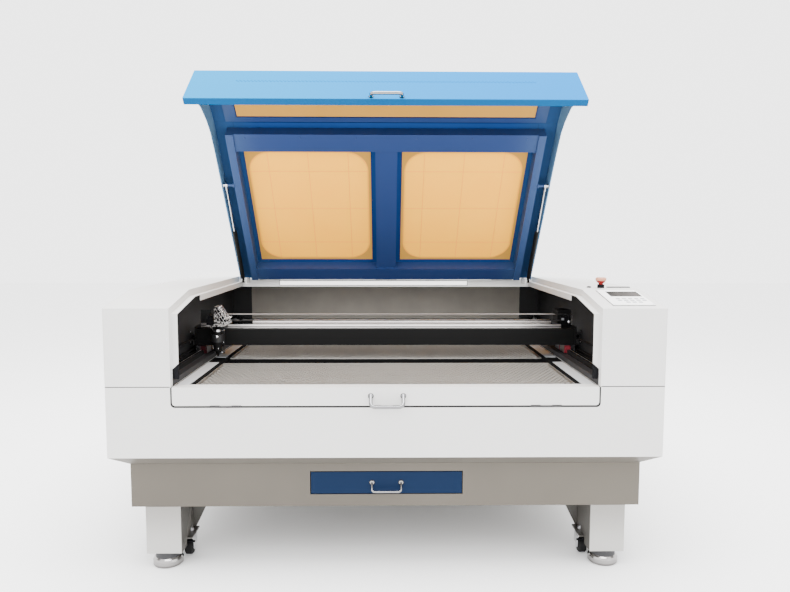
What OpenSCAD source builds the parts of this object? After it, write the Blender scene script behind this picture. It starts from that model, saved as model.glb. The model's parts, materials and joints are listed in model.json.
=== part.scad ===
// Carbon dioxide laser cutting machine: floor-standing cabinet, raised lid, moving gantry.
// Millimetres. X runs to the right, Y to the rear, Z up from the floor; X = Y = 0 at the middle.

/* [Cabinet] */
// Overall width over the side covers
body_w = 1840; // [1700:10:2100]
// Depth of the cabinet, without handles and ducts
body_d = 1500; // [1450:10:1700]
// Width of each side cover
side_w = 213.5; // [200:0.5:230]
// Height of the side covers above the seam
cover_h = 304; // [300:1:330]
// Height of the covers' front edge above the seam
front_h = 260; // [250:1:270]
// Depth of the sloping band behind the front edge
bevel_d = 238; // [228:1:260]
// Height of the lower body, from its sloping skirt to the seam
lower_h = 236; // [230:1:280]
// Height of the sloping skirt under the lower body
skirt_h = 37; // [30:1:50]
// How far the skirt steps in to the plinth
skirt_in = 54; // [40:1:70]
// Height of the plinth
plinth_h = 150; // [140:1:180]
// Sheet steel thickness
sheet = 2; // [1.5:0.1:2.2]

/* [Legs] */
// Height of the plinth's underside above the floor
leg_top = 217; // [200:1:260]
// Height of the legs' underside above the floor
leg_bottom = 51; // [48:1:56]
// Width of a leg
leg_w = 120; // [110:1:130]
// Depth of a leg
leg_d = 157; // [150:1:170]
// Distance from the plinth's side to a leg
leg_in = 46; // [30:1:60]
// Levelling foot diameter
foot_dia = 101; // [90:1:101]
// Levelling stud diameter
stud_dia = 16; // [12:1:20]
// Caster wheel diameter
wheel_dia = 50; // [44:1:50]
// Caster wheel width
wheel_w = 28; // [22:1:28]

/* [Lid] */
// How far the lid stands open at rest, in degrees
lid_open = 50.5; // [45:0.5:54]
// Height of the lid's front panel
lid_front_h = 206; // [190:1:206]
// Depth of the lid's inner frame below its skin
lid_frame_h = 60; // [50:1:60]
// Distance from the lid's side bars to the windows
window_in = 61; // [50:1:90]
// Width of the lid's middle bar between the windows
middle_bar = 150; // [130:2:200]
// Gas strut cylinder diameter
strut_dia = 18; // [15:1:18]
// Gas strut rod diameter
strut_rod_dia = 8; // [6:1:10]

/* [Bed and gantry] */
// Distance from the front opening's sides to the honeycomb bed
bed_in = 64.5; // [60:0.5:100]
// Height of the gantry beam
beam_h = 66; // [55:1:66]
// Depth of the gantry beam
beam_d = 120; // [115:1:130]
// Distance from the cabinet's front to the gantry beam at rest
gantry_d = 540; // [520:5:560]
// Focus lens tube diameter
lens_dia = 36; // [30:1:36]
// Laser tube diameter
tube_dia = 80; // [60:1:82]

/* [Front door, drawer and controls] */
// Height of the front door
door_h = 64; // [56:1:70]
// Width of the debris drawer's front
drawer_w = 514; // [450:2:560]
// Height of the debris drawer's front
drawer_h = 75; // [70:1:80]
// Depth of the debris drawer
drawer_d = 800; // [600:10:900]
// Emergency stop head diameter
stop_dia = 40; // [34:1:42]
// Exhaust duct diameter
duct_dia = 150; // [120:5:160]

/* [Hidden] */
$fn = 64;
white = [0.89, 0.88, 0.87];
grey = [0.68, 0.67, 0.66];
black = [0.06, 0.06, 0.07];
dark = [0.2, 0.19, 0.18];
silver = [0.75, 0.75, 0.77];
steel = [0.55, 0.55, 0.57];
blue = [0.15, 0.35, 0.62];
deep_blue = [0.13, 0.22, 0.48];
red = [0.78, 0.08, 0.06];
amber = [0.95, 0.7, 0.35, 0.6];

gap = 0.3;
run = 0.05;
eps = 1;

// Plan sizes: half widths and depths behind the cabinet's front face.
hw = body_w / 2;
fy = -body_d / 2;
by = body_d / 2;
open_x = hw - side_w;
ledge_x = open_x - 20.5;
lid_x = open_x - 6.5;
panel_x = open_x - 2.5;
cheek_x = lid_x - 17.5;
frame_x = lid_x - 66;
wall_x = open_x + 98.5;
rail_x = open_x + 39.5;
belt_x = open_x + 71;
plinth_x = hw - skirt_in;
deck_y = by - 438;
hinge_y = deck_y + 13;
back_y = by - 130;
plinth_y = by - skirt_in;

// Heights above the floor.
plinth_z = leg_top;
skirt_z = plinth_z + plinth_h;
lower_z = skirt_z + skirt_h;
seam_z = lower_z + lower_h;
front_z = seam_z + front_h;
top_z = seam_z + cover_h;
hinge_z = top_z - 10;
shelf_z = seam_z + 20;
slope = (top_z - front_z) / bevel_d;
stretch = sqrt(1 + slope * slope);
bevel_deg = atan(slope);

// The cover's side outline, moved inwards by t, between height zb and depth yb.
function outline(t, zf, zb, yb) =
    let (k = (top_z - zf) / bevel_d, q = sqrt(1 + k * k))
    [[fy + t, zb],
     [fy + t, zf + k * t - t * q],
     [fy + (top_z - t - zf + t * q) / k, top_z - t],
     [yb, top_z - t],
     [yb, zb]];

module bx(x0, x1, y0, y1, z0, z1) {
    translate([x0, y0, z0])
        cube([x1 - x0, y1 - y0, z1 - z0]);
}

// A Y-Z outline run along X.
module along_x(x0, x1) {
    translate([x0, 0, 0])
        rotate([90, 0, 90])
            linear_extrude(x1 - x0)
                children();
}

// An X-Z outline run along Y.
module along_y(y0, y1) {
    translate([0, y1, 0])
        rotate([90, 0, 0])
            linear_extrude(y1 - y0)
                children();
}

module both() {
    children();
    mirror([1, 0, 0])
        children();
}

module front_rear() {
    children();
    mirror([0, 1, 0])
        children();
}

module rod_x(r, x0, x1) {
    translate([x0, 0, 0])
        rotate([0, 90, 0])
            cylinder(r = r, h = x1 - x0);
}

module rod_y(r, y0, y1) {
    translate([0, y0, 0])
        rotate([-90, 0, 0])
            cylinder(r = r, h = y1 - y0);
}

module rod_z(r, z0, z1) {
    translate([0, 0, z0])
        cylinder(r = r, h = z1 - z0);
}

// A band between two offsets of the same side outline.
module band(x0, x1, t0, t1, zf, zb, yb) {
    difference() {
        along_x(x0, x1)
            polygon(outline(t0, zf, zb, yb));
        along_x(x0 - eps, x1 + eps)
            polygon(outline(t1, zf, zb - eps, yb + eps));
    }
}

// A sheet channel that is open upwards.
module tray(x0, x1, y0, y1, z0, z1, t) {
    difference() {
        bx(x0, x1, y0, y1, z0, z1);
        bx(x0 + t, x1 - t, y0 + t, y1 - t, z0 + t, z1 + eps);
    }
}

/* Hinges: the pin and two outer barrels stand still, the middle barrel turns. */
barrel_mid = 19;
barrel_end = 50;

module still_barrels(r, pin_r) {
    rod_x(pin_r, -barrel_end, barrel_end);
    both()
        rod_x(r, barrel_mid + eps, barrel_end);
}

module turning_barrel(r, pin_r) {
    difference() {
        rod_x(r, -barrel_mid, barrel_mid);
        rod_x(pin_r + run, -barrel_mid - eps, barrel_mid + eps);
    }
}

/* A bent pull on a wall that faces -Y: two legs slope out and down to a straight grip. */
module pull(span, reach, drop, r, base_r) {
    leg_r = 0.85 * r;
    both()
        translate([span / 2, 0, 0]) {
            rod_y(base_r, -3, 0);
            difference() {
                rotate([90 + atan2(drop, reach), 0, 0])
                    translate([0, 0, -leg_r])
                        cylinder(r = leg_r, h = norm([reach, drop]) + leg_r);
                bx(-base_r, base_r, 0, base_r, -base_r, base_r);
            }
        }
    translate([0, -reach, -drop])
        rod_x(r, -span / 2 - r, span / 2 + r);
}

// ---------------------------------------------------------------- lower cabinet
door_x = panel_x;
door_top = seam_z;
door_axis_y = fy - 1;
door_axis_z = seam_z - door_h;
door_r = 12;
door_barrel_r = 3;
door_pin_r = 1.5;
door_flange = 48;
door_hinges = [-0.75 * door_x, 0, 0.75 * door_x];
duct_x = 350;
duct_z = lower_z + 96;
slot_x = open_x - 6.5;
slot_z0 = seam_z + 6;
slot_z1 = seam_z + 53;
drawer_z = plinth_z + 44;
drawer_gap = 3;

module lower_outer() {
    intersection() {
        along_y(fy, by)
            polygon([[-hw, seam_z], [-hw, lower_z], [-plinth_x, skirt_z],
                     [plinth_x, skirt_z], [hw, lower_z], [hw, seam_z]]);
        along_x(-hw, hw)
            polygon([[fy, seam_z], [fy, lower_z], [-plinth_y, skirt_z],
                     [plinth_y, skirt_z], [by, lower_z], [by, seam_z]]);
    }
}

module lower_inner() {
    xi = hw - sheet;
    yi = by - sheet;
    px = plinth_x - sheet;
    py = plinth_y - sheet;
    intersection() {
        along_y(fy, by)
            polygon([[-xi, seam_z - sheet], [-xi, lower_z], [-px, skirt_z], [-px, skirt_z - eps],
                     [px, skirt_z - eps], [px, skirt_z], [xi, lower_z], [xi, seam_z - sheet]]);
        along_x(-hw, hw)
            polygon([[-yi, seam_z - sheet], [-yi, lower_z], [-py, skirt_z], [-py, skirt_z - eps],
                     [py, skirt_z - eps], [py, skirt_z], [yi, lower_z], [yi, seam_z - sheet]]);
    }
}

// A plate facing -Y with rounded lower corners.
module door_plate(x, z0, z1, y0, y1) {
    bx(-x + door_r, x - door_r, y0, y1, z0, z1);
    bx(-x, x, y0, y1, z0 + door_r, z1);
    both()
        translate([x - door_r, 0, z0 + door_r])
            rod_y(door_r, y0, y1);
}

module at_door_hinges() {
    for (x = door_hinges)
        translate([x, door_axis_y, door_axis_z])
            children();
}

module lower_body() {
    color(white) {
        difference() {
            lower_outer();
            lower_inner();
            bx(-open_x + 0.5, open_x - 0.5, fy + sheet, by - sheet, seam_z - 3 * sheet, seam_z + eps);
            door_plate(door_x + 2, door_axis_z - 1.5, seam_z + eps, fy - eps, fy + sheet + eps);
            at_door_hinges()
                bx(-barrel_mid - eps, barrel_mid + eps, -5, 5, -4, 5);
            both()
                translate([duct_x, 0, duct_z])
                    rod_y(duct_dia / 2 - sheet, by - 3 * sheet, by + eps);
        }
        both()
            bx(open_x - 0.5, open_x + 1.5, fy + sheet, by - sheet, seam_z - 100, seam_z - sheet);
        at_door_hinges() {
            still_barrels(door_barrel_r, door_pin_r);
            both()
                bx(barrel_mid + eps, barrel_end, 1, 3, -12, -1);
        }
    }
}

module base_frame() {
    wall = 3;
    lip = 28;
    rail_in = drawer_w / 2 - 7;
    color(grey) {
        difference() {
            bx(-plinth_x, plinth_x, -plinth_y, plinth_y, plinth_z, skirt_z);
            bx(-plinth_x + wall, plinth_x - wall, -plinth_y + wall, plinth_y - wall,
               plinth_z + wall, skirt_z - wall);
            bx(-plinth_x + lip, plinth_x - lip, -plinth_y + lip, plinth_y - lip,
               skirt_z - 2 * wall, skirt_z + eps);
            bx(-drawer_w / 2 - drawer_gap, drawer_w / 2 + drawer_gap, -plinth_y - eps, -plinth_y + lip,
               drawer_z - drawer_gap, drawer_z + drawer_h + drawer_gap);
        }
        both()
            along_y(-plinth_y + 6, -plinth_y + drawer_d + 46)
                polygon([[rail_in, plinth_z + wall], [rail_in + 2, plinth_z + wall],
                         [rail_in + 2, drawer_z + 39], [rail_in, drawer_z + 39],
                         [rail_in, drawer_z + 2.7], [rail_in - 18, drawer_z + 2.7],
                         [rail_in - 18, drawer_z + 0.7], [rail_in, drawer_z + 0.7]]);
    }
}

hopper_top = seam_z - 80;
hopper_bottom = skirt_z - 22;

module hopper_volume(t, dz) {
    xt = open_x - 3 - t;
    xb = drawer_w / 2 - 22 - t;
    yt0 = fy + 5 + t;
    yt1 = back_y - 2 - t;
    yb0 = -plinth_y + 40 + t;
    yb1 = -plinth_y + drawer_d - 20 - t;
    intersection() {
        along_y(fy, by)
            polygon([[-xt, hopper_top + dz], [-xt, hopper_top - eps], [-xb, hopper_bottom], [-xb, hopper_bottom - dz],
                     [xb, hopper_bottom - dz], [xb, hopper_bottom], [xt, hopper_top - eps], [xt, hopper_top + dz]]);
        along_x(-hw, hw)
            polygon([[yt0, hopper_top + dz], [yt0, hopper_top - eps], [yb0, hopper_bottom], [yb0, hopper_bottom - dz],
                     [yb1, hopper_bottom - dz], [yb1, hopper_bottom], [yt1, hopper_top - eps], [yt1, hopper_top + dz]]);
    }
}

module debris_hopper() {
    color(grey)
        difference() {
            union() {
                hopper_volume(0, 0.01);
                bx(-open_x + 0.5, open_x - 0.5, fy + sheet, back_y, hopper_top - sheet, hopper_top);
            }
            hopper_volume(sheet, eps);
        }
}

// ---------------------------------------------------------------- side covers
step_in = 24;
flange_h = 22;
flange_y = fy + bevel_d + 70;
ledge_end = seam_z + 65;
seam_h = 3;
seam_in = 1.2;

module cover_shell() {
    difference() {
        union() {
            along_x(open_x, hw)
                polygon(outline(0, front_z, seam_z + seam_h, by));
            along_x(open_x, hw - seam_in)
                polygon(outline(seam_in, front_z, seam_z, by - seam_in));
        }
        along_x(open_x - eps, hw - sheet)
            polygon(outline(sheet, front_z, seam_z - eps, by - sheet));
    }
    band(open_x, open_x + sheet, 0, step_in, front_z, seam_z, back_y - gap);
    intersection() {
        band(ledge_x, open_x + sheet, step_in, step_in + sheet, front_z, seam_z, by);
        along_y(fy, deck_y - gap)
            polygon([[ledge_x, ledge_end + 10], [open_x + sheet, ledge_end - 11],
                     [open_x + sheet, top_z], [ledge_x, top_z]]);
    }
    bx(ledge_x, ledge_x + sheet, flange_y, deck_y - gap,
       top_z - step_in - flange_h, top_z - step_in - eps);
}

// Each cover is bolted up from a side panel, a sloping hood and a flat top, with fine seams.
module seamed_cover() {
    fold_y = fy + bevel_d;
    difference() {
        cover_shell();
        bx(hw - sheet - gap, hw - sheet, fy - eps, by + eps, seam_z - eps, top_z + eps);
        bx(ledge_x - eps, hw - sheet, fold_y, fold_y + gap, front_z - eps, top_z + eps);
    }
}

module left_cover() {
    color(white)
        mirror([1, 0, 0])
            seamed_cover();
}

panel_x0 = open_x + 45.5;
panel_x1 = hw - 28;
panel_s0 = 34;
panel_s1 = bevel_d - 13;
box_x0 = wall_x + 7;
box_x1 = panel_x1 - 8;
stop_x = wall_x - 5;
stop_y = fy + bevel_d + 82;
key_x = open_x + 55.5;
key_y = stop_y + 20;
meter_x = hw - 48;

// The sloping face of the covers: X, distance up the slope, height above the sheet.
module on_bevel() {
    translate([0, fy, front_z])
        rotate([bevel_deg, 0, 0])
            children();
}

module right_cover() {
    color(white)
        difference() {
            seamed_cover();
            on_bevel()
                bx(box_x0 - gap, box_x1 + gap, panel_s0 + 8 - gap, panel_s1 - 8 + gap, -6, eps);
            translate([stop_x, stop_y, 0])
                rod_z(11 + gap, top_z - 3 * sheet, top_z + eps);
            translate([key_x, key_y, 0])
                rod_z(6 + gap, top_z - 3 * sheet, top_z + eps);
        }
}

module side_wall() {
    difference() {
        along_x(wall_x, wall_x + sheet)
            polygon(outline(sheet + gap, front_z, seam_z, by - sheet - gap));
        translate([0, shaft_y, shaft_z])
            rod_x(12, wall_x - eps, wall_x + sheet + eps);
        bx(wall_x - eps, wall_x + 3 * sheet, stop_y - 20, stop_y + 20, top_z - 52, top_z);
    }
    bx(open_x - 0.5, wall_x, fy + step_in + gap, back_y, shelf_z - sheet, shelf_z);
    bx(open_x - 0.5, open_x + 1.5, fy + step_in + gap, back_y, seam_z, shelf_z - sheet);
    bx(open_x + sheet + gap, wall_x, fy + sheet + gap, fy + 2 * sheet + gap, shelf_z, front_z - 5);
}

module right_wall() {
    color(black)
        side_wall();
}

module left_wall() {
    color(black)
        mirror([1, 0, 0])
            side_wall();
}

module back_wall() {
    floor_z = seam_z + 60;
    color(grey) {
        difference() {
            bx(-wall_x + gap, wall_x - gap, back_y, back_y + sheet, seam_z, top_z - sheet - gap);
            bx(-slot_x, slot_x, back_y - eps, back_y + sheet + eps, slot_z0, slot_z1);
        }
        bx(-wall_x + gap, wall_x - gap, back_y, by - sheet - gap, floor_z - sheet, floor_z);
        bx(-slot_x, slot_x, back_y, by - sheet - gap, seam_z, seam_z + sheet);
        bx(-open_x + sheet, open_x - sheet, back_y - 6, back_y, floor_z + 16, floor_z + 20);
    }
}

module rear_panel() {
    color(white)
        difference() {
            bx(-open_x + gap, open_x - gap, by - sheet, by, seam_z, top_z - sheet - gap);
            bx(-slot_x, slot_x, by - sheet - eps, by + eps, slot_z0, slot_z1);
        }
}

// ---------------------------------------------------------------- rear deck and tube cover
deck_x = open_x - gap;
bay_x = open_x - 66;
bay_y0 = back_y + 14;
bay_y1 = by - 16;
bay_axis_y = by - 7;
bay_axis_z = top_z + 3.5;
bay_barrel_r = 3;
bay_pin_r = 1.5;
bay_hinges = [-0.7 * bay_x, 0, 0.7 * bay_x];
strut_x = lid_x - 32;
strut_pin_r = 4;
strut_y = hinge_y - 90;
strut_z = top_z - 16;

module at_bay_hinges() {
    for (x = bay_hinges)
        translate([x, bay_axis_y, bay_axis_z])
            children();
}

module rear_deck() {
    foot_z = top_z - 49;
    step_z = top_z - 18;
    step_y = hinge_y + 14;
    color(grey) {
        difference() {
            along_x(-deck_x, deck_x)
                polygon([[deck_y, foot_z], [deck_y, step_z], [step_y, step_z], [step_y, top_z],
                         [by, top_z], [by, top_z - sheet], [step_y + sheet, top_z - sheet],
                         [step_y + sheet, step_z - sheet], [deck_y + sheet, step_z - sheet],
                         [deck_y + sheet, foot_z]]);
            bx(-bay_x, bay_x, bay_y0, bay_y1, top_z - 2 * sheet, top_z + eps);
        }
        both()
            bx(deck_x - sheet, deck_x, deck_y + sheet, back_y - 1, foot_z, top_z - sheet);
        at_bay_hinges() {
            still_barrels(bay_barrel_r, bay_pin_r);
            both()
                bx(barrel_mid + eps, barrel_end, -1, 5, -3.5, -1);
        }
        both() {
            bx(strut_x - 16, strut_x - 12, strut_y - 14, deck_y, strut_z - 14, strut_z + 10);
            translate([0, strut_y, strut_z])
                rod_x(strut_pin_r, strut_x - 13, strut_x + 6);
            translate([0, strut_y, strut_z])
                rod_x(strut_pin_r + 3, strut_x - 13, strut_x - 5.3);
        }
    }
}

module tube_cover() {
    color(white) {
        difference() {
            bx(-bay_x - 12, bay_x + 12, bay_y0 - 16, bay_axis_y - 1, top_z + gap, top_z + gap + 1.6);
            at_bay_hinges()
                both()
                    bx(barrel_mid, barrel_end + eps, -5, 5, -4, 4);
        }
        at_bay_hinges() {
            turning_barrel(bay_barrel_r, bay_pin_r);
            bx(-barrel_mid, barrel_mid, -12, -2, -3.2, -1.6);
        }
    }
}

hinge_r = 6;
hinge_pin_r = 4;
lid_hinges = [-0.8 * lid_x, 0, 0.8 * lid_x];

module at_lid_hinges() {
    for (x = lid_hinges)
        translate([x, hinge_y, hinge_z])
            children();
}

module hinge_pins() {
    color(silver)
        at_lid_hinges() {
            still_barrels(hinge_r, hinge_pin_r);
            both()
                bx(barrel_mid + eps, barrel_end, -3, 12, hinge_r - 14, hinge_r - 11);
            both()
                bx(barrel_mid + eps, barrel_end, -3, 3, hinge_r - 12, -2);
        }
}

// ---------------------------------------------------------------- lid, drawn closed and then raised
lid_front_z = front_z - 4;
lid_bottom = lid_front_z - lid_front_h;
lid_back = hinge_y + 4;
win_x0 = middle_bar / 2;
win_x1 = frame_x - window_in;
win_y0 = fy + bevel_d + 132;
win_y1 = hinge_y - 130;
slant_x = lid_x - 123;
slant_y0 = fy + 90;
slant_y1 = fy + 198;
rim_z = top_z - lid_frame_h;
strut_lid_y = hinge_y - 573;
strut_lid_z = rim_z + 4;

module raised() {
    translate([0, hinge_y, hinge_z])
        rotate([-lid_open, 0, 0])
            translate([0, -hinge_y, -hinge_z])
                children();
}

module lid_shell() {
    color(blue)
        raised()
            difference() {
                union() {
                    difference() {
                        band(-lid_x, lid_x, 0, sheet, lid_front_z, lid_bottom, lid_back);
                        bx(-hw, hw, lid_back, by, seam_z, top_z + eps);
                    }
                    bx(-panel_x, panel_x, fy, fy + sheet, lid_bottom, lid_front_z);
                    bx(-panel_x, panel_x, fy, fy + 25, lid_bottom, lid_bottom + sheet);
                    both()
                        band(lid_x - sheet, lid_x, 0, 16, lid_front_z, lid_bottom, lid_back);
                }
                both()
                    bx(win_x0, win_x1, win_y0, win_y1, rim_z, top_z + eps);
                bx(-slant_x, slant_x, slant_y0, slant_y1, rim_z - 20, top_z + eps);
            }
}

cheek_rim = [[2.3, -182], [40, -150], [70, -118], [100, -91], [140, -70], [181, -50], [239, -32], [328, -26],
             [457, -20]];

module cheek() {
    top = outline(sheet + gap, lid_front_z, seam_z, hinge_y - 30);
    rim = [for (p = cheek_rim) [fy + p[0], top_z + p[1] * lid_frame_h / 60 - 44]];
    along_x(cheek_x, cheek_x + sheet)
        polygon(concat(rim, [[hinge_y - 70, rim_z], [hinge_y - 30, rim_z + 16], top[3], top[2], top[1]]));
}

module lid_frame() {
    y0 = fy + bevel_d + 24;
    y1 = hinge_y - 35;
    zt = top_z - sheet - gap;
    color(deep_blue)
        raised() {
            both() {
                cheek();
                tray(frame_x - 30, frame_x, y0, y1, rim_z, zt, sheet);
                strut_stud();
            }
            tray(-frame_x + 30, frame_x - 30, y0, win_y0 - 30, rim_z + 6, zt, sheet);
            tray(-frame_x + 30, frame_x - 30, win_y1 + 30, y1, rim_z + 6, zt, sheet);
            tray(-45, 45, win_y0 - 30, win_y1 + 30, rim_z + 16, zt, sheet);
            difference() {
                band(-frame_x, frame_x, sheet + gap, 8, lid_front_z, seam_z, by);
                bx(-hw, hw, fy, fy + 30, seam_z, top_z);
                bx(-hw, hw, y0 - 30, by + eps, seam_z, top_z);
                bx(-slant_x - 12, slant_x + 12, slant_y0 - 12, slant_y1 + 12, seam_z, top_z);
            }
            at_lid_hinges() {
                turning_barrel(hinge_r, hinge_pin_r);
                bx(-barrel_mid, barrel_mid, -37, -5, 2, 6);
            }
        }
}

module strut_stud() {
    translate([0, strut_lid_y, strut_lid_z])
        rod_x(5, frame_x - sheet, strut_x - 5.5);
    translate([0, strut_lid_y, strut_lid_z])
        rod_x(9, frame_x, frame_x + 6);
}

module lid_windows() {
    zt = top_z - sheet - gap;
    color(amber)
        raised() {
            both()
                bx(win_x0 - 10, win_x1 + 10, win_y0 - 10, win_y1 + 10, zt - 4, zt);
            intersection() {
                band(-slant_x - 8, slant_x + 8, sheet + gap, 6.3, lid_front_z, seam_z, by);
                bx(-hw, hw, slant_y0 - 8, slant_y1 + 8, rim_z - 20, top_z);
            }
        }
}

pull_reach = 30;
pull_r = 6;

module lid_handle() {
    color(silver)
        raised()
            translate([0, fy, lid_bottom + 15])
                pull(107, pull_reach, pull_reach, pull_r, 8);
}

// ---------------------------------------------------------------- gas struts
lid_dy = strut_lid_y - hinge_y;
lid_dz = strut_lid_z - hinge_z;
strut_end_y = hinge_y + lid_dy * cos(lid_open) + lid_dz * sin(lid_open);
strut_end_z = hinge_z - lid_dy * sin(lid_open) + lid_dz * cos(lid_open);
strut_len = norm([strut_end_y - strut_y, strut_end_z - strut_z]);
strut_deg = atan2(strut_end_z - strut_z, strut_end_y - strut_y);
strut_body = 283;

module on_strut() {
    translate([strut_x, strut_y, strut_z])
        rotate([strut_deg - 90, 0, 0])
            children();
}

module strut_tube() {
    color(black)
        on_strut()
            difference() {
                union() {
                    rod_x(9, -5, 5);
                    rod_z(4.5, 5, 20);
                    rod_z(strut_dia / 2, 18, strut_body);
                }
                rod_x(strut_pin_r + run, -6, 6);
                rod_z(strut_dia / 2 - 1.5, 40, strut_body - 12);
                rod_z(strut_rod_dia / 2 + run, strut_body - 14, strut_body + eps);
            }
}

module strut_rod() {
    color(silver)
        on_strut() {
            difference() {
                union() {
                    rod_z(strut_rod_dia / 2, 200, strut_len - 4);
                    rod_z(strut_dia / 2 - 1.5 - run, 200, 212);
                    translate([0, 0, strut_len])
                        rod_x(8, -5, 5);
                    rod_z(5.5, strut_len - 24, strut_len - 5);
                }
                translate([0, 0, strut_len])
                    rod_x(5 + run, -6, 6);
            }
        }
}

module right_strut_tube() {
    strut_tube();
}

module left_strut_tube() {
    mirror([1, 0, 0])
        strut_tube();
}

module right_strut_rod() {
    strut_rod();
}

module left_strut_rod() {
    mirror([1, 0, 0])
        strut_rod();
}

// ---------------------------------------------------------------- bed
bed_x = open_x - bed_in;
bed_y0 = fy + 50;
bed_y1 = back_y - 2;
channel_y0 = fy + 454;
channel_y1 = fy + 566;
bed_z = seam_z - 4;
comb_h = 20;
slat_z = bed_z - comb_h - gap;
front_slats = [for (k = [1:3]) bed_y0 + k * (channel_y0 - bed_y0) / 4];
rear_slats = [for (k = [1:4]) channel_y1 + k * (bed_y1 - channel_y1) / 5];

module bed_frame() {
    color(black) {
        both() {
            bx(bed_x + 2, open_x - 0.5, bed_y0, bed_y1, slat_z - 16, seam_z - sheet);
            bx(bed_x - 20, bed_x + 2 + eps, bed_y0, bed_y1, slat_z - 4, slat_z);
        }
        difference() {
            bx(-bed_x - 2, bed_x + 2, channel_y0, channel_y1, slat_z - 16, bed_z - 4);
            bx(-bed_x, bed_x, channel_y0 + 3, channel_y1 - 3, slat_z - 12, bed_z);
        }
        bx(-bed_x - 2, bed_x + 2, bed_y0, bed_y0 + 10, slat_z - 16, seam_z - sheet);
        bx(-bed_x - 2, bed_x + 2, bed_y1 - 12, bed_y1, slat_z - 16, seam_z - sheet);
        for (y = concat(front_slats, rear_slats))
            bx(-bed_x - 2, bed_x + 2, y, y + 12, slat_z - 16, slat_z);
    }
}

module bed_strips() {
    color(silver)
        both() {
            bx(bed_x + 17, open_x - 6.5, bed_y0, channel_y0, seam_z - sheet, seam_z);
            bx(bed_x + 17, open_x - 6.5, channel_y1, bed_y1, seam_z - sheet, seam_z);
        }
}

module honeycomb() {
    color(steel) {
        bx(-bed_x, bed_x, bed_y0 + 12, channel_y0 - gap, bed_z - comb_h, bed_z);
        bx(-bed_x, bed_x, channel_y1 + gap, bed_y1 - 14, bed_z - comb_h, bed_z);
    }
}

// ---------------------------------------------------------------- Y drive
rail_h = 18;
rail_w = 20;
pulley_r = 20;
shaft_z = shelf_z + 40;
shaft_y = back_y - 25;
idler_y = fy + 100;
shaft_r = 8;

module y_rails() {
    color(silver)
        both()
            bx(rail_x - rail_w / 2, rail_x + rail_w / 2, fy + 90, back_y - 70, shelf_z, shelf_z + rail_h);
}

module y_belts() {
    color(black)
        both() {
            difference() {
                union() {
                    bx(belt_x, belt_x + 15, idler_y, shaft_y, shaft_z - pulley_r - 2, shaft_z + pulley_r + 2);
                    for (y = [idler_y, shaft_y])
                        translate([0, y, shaft_z])
                            rod_x(pulley_r + 2, belt_x, belt_x + 15);
                }
                bx(belt_x - eps, belt_x + 16, idler_y, shaft_y, shaft_z - pulley_r, shaft_z + pulley_r);
                for (y = [idler_y, shaft_y])
                    translate([0, y, shaft_z])
                        rod_x(pulley_r, belt_x - eps, belt_x + 16);
            }
            translate([0, idler_y, shaft_z]) {
                rod_x(pulley_r - run, belt_x, belt_x + 15);
                rod_x(6, belt_x + 15, belt_x + 20);
                bx(belt_x + 18, belt_x + 24, -14, 14, shelf_z - shaft_z, 12);
            }
            difference() {
                bx(rail_x + 6, rail_x + 22, shaft_y - 15, shaft_y + 15, shelf_z, shaft_z + 16);
                translate([0, shaft_y, shaft_z])
                    rod_x(shaft_r + run, rail_x, rail_x + 30);
            }
        }
}

module y_shaft() {
    color(silver)
        translate([0, shaft_y, shaft_z]) {
            rod_x(shaft_r, -wall_x - 5, belt_x + 17);
            both()
                rod_x(pulley_r - run, belt_x, belt_x + 15);
            rod_x(11, -wall_x - 15, -wall_x - 3);
        }
}

module y_motor() {
    face = -wall_x - sheet;
    color(black)
        translate([0, shaft_y, shaft_z]) {
            bx(face - 85, face - 15, -28.5, 28.5, -28.5, 28.5);
            for (a = [-22, 22])
                for (b = [-22, 22])
                    translate([0, a, b])
                        rod_x(4, face - 15, face);
            rod_x(5, face - 15, face - 13.3);
        }
}

// ---------------------------------------------------------------- gantry
block_z = shelf_z + 34;
beam_top = block_z + beam_h;
gy = fy + gantry_d;
gy1 = gy + beam_d;
beam_x = open_x + 63.5;
xrail_y = gy + 35;
xbelt_y = gy + 50;
xbelt_z = beam_top + 41;
xpulley_r = 12;
xdrive_x = open_x + 38.5;
xidler_x = -open_x - 28.5;

module gantry_beam() {
    color(black) {
        difference() {
            bx(-beam_x, beam_x, gy, gy1, block_z, beam_top);
            bx(-beam_x + 3, beam_x - 3, gy + 3, gy1 - 3, block_z + 3, beam_top - 3);
        }
        both() {
            bx(beam_x, beam_x + 6, gy - 4, gy1 + 4, block_z - 2, beam_top + 10);
            along_y(gy + 30, gy + 90)
                polygon([[beam_x + 5, shaft_z + 12], [belt_x + 16.5, shaft_z + 12],
                         [belt_x + 16.5, shaft_z + pulley_r - gap],
                         [beam_x + 6.5, shaft_z + pulley_r - gap],
                         [beam_x + 6.5, shaft_z + pulley_r + 2.3],
                         [belt_x + 16.5, shaft_z + pulley_r + 2.3],
                         [belt_x + 16.5, shaft_z + pulley_r + 10],
                         [beam_x + 5, shaft_z + pulley_r + 10]]);
        }
    }
}

module rail_block(y0, y1) {
    w = rail_w / 2 + 0.1;
    along_y(y0, y1)
        polygon([[rail_x - 22, shelf_z + 4], [rail_x - w, shelf_z + 4],
                 [rail_x - w, shelf_z + rail_h + 0.1], [rail_x + w, shelf_z + rail_h + 0.1],
                 [rail_x + w, shelf_z + 4], [rail_x + 22, shelf_z + 4],
                 [rail_x + 22, block_z], [rail_x - 22, block_z]]);
}

module rail_blocks() {
    both()
        for (y = [gy - 16, gy + 66]) {
            color(silver)
                rail_block(y, y + 70);
            color(red)
                for (end = [y - 4, y + 70])
                    bx(rail_x - 17, rail_x + 17, end, end + 4, shelf_z + rail_h + 0.2, block_z - 1);
        }
}

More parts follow.
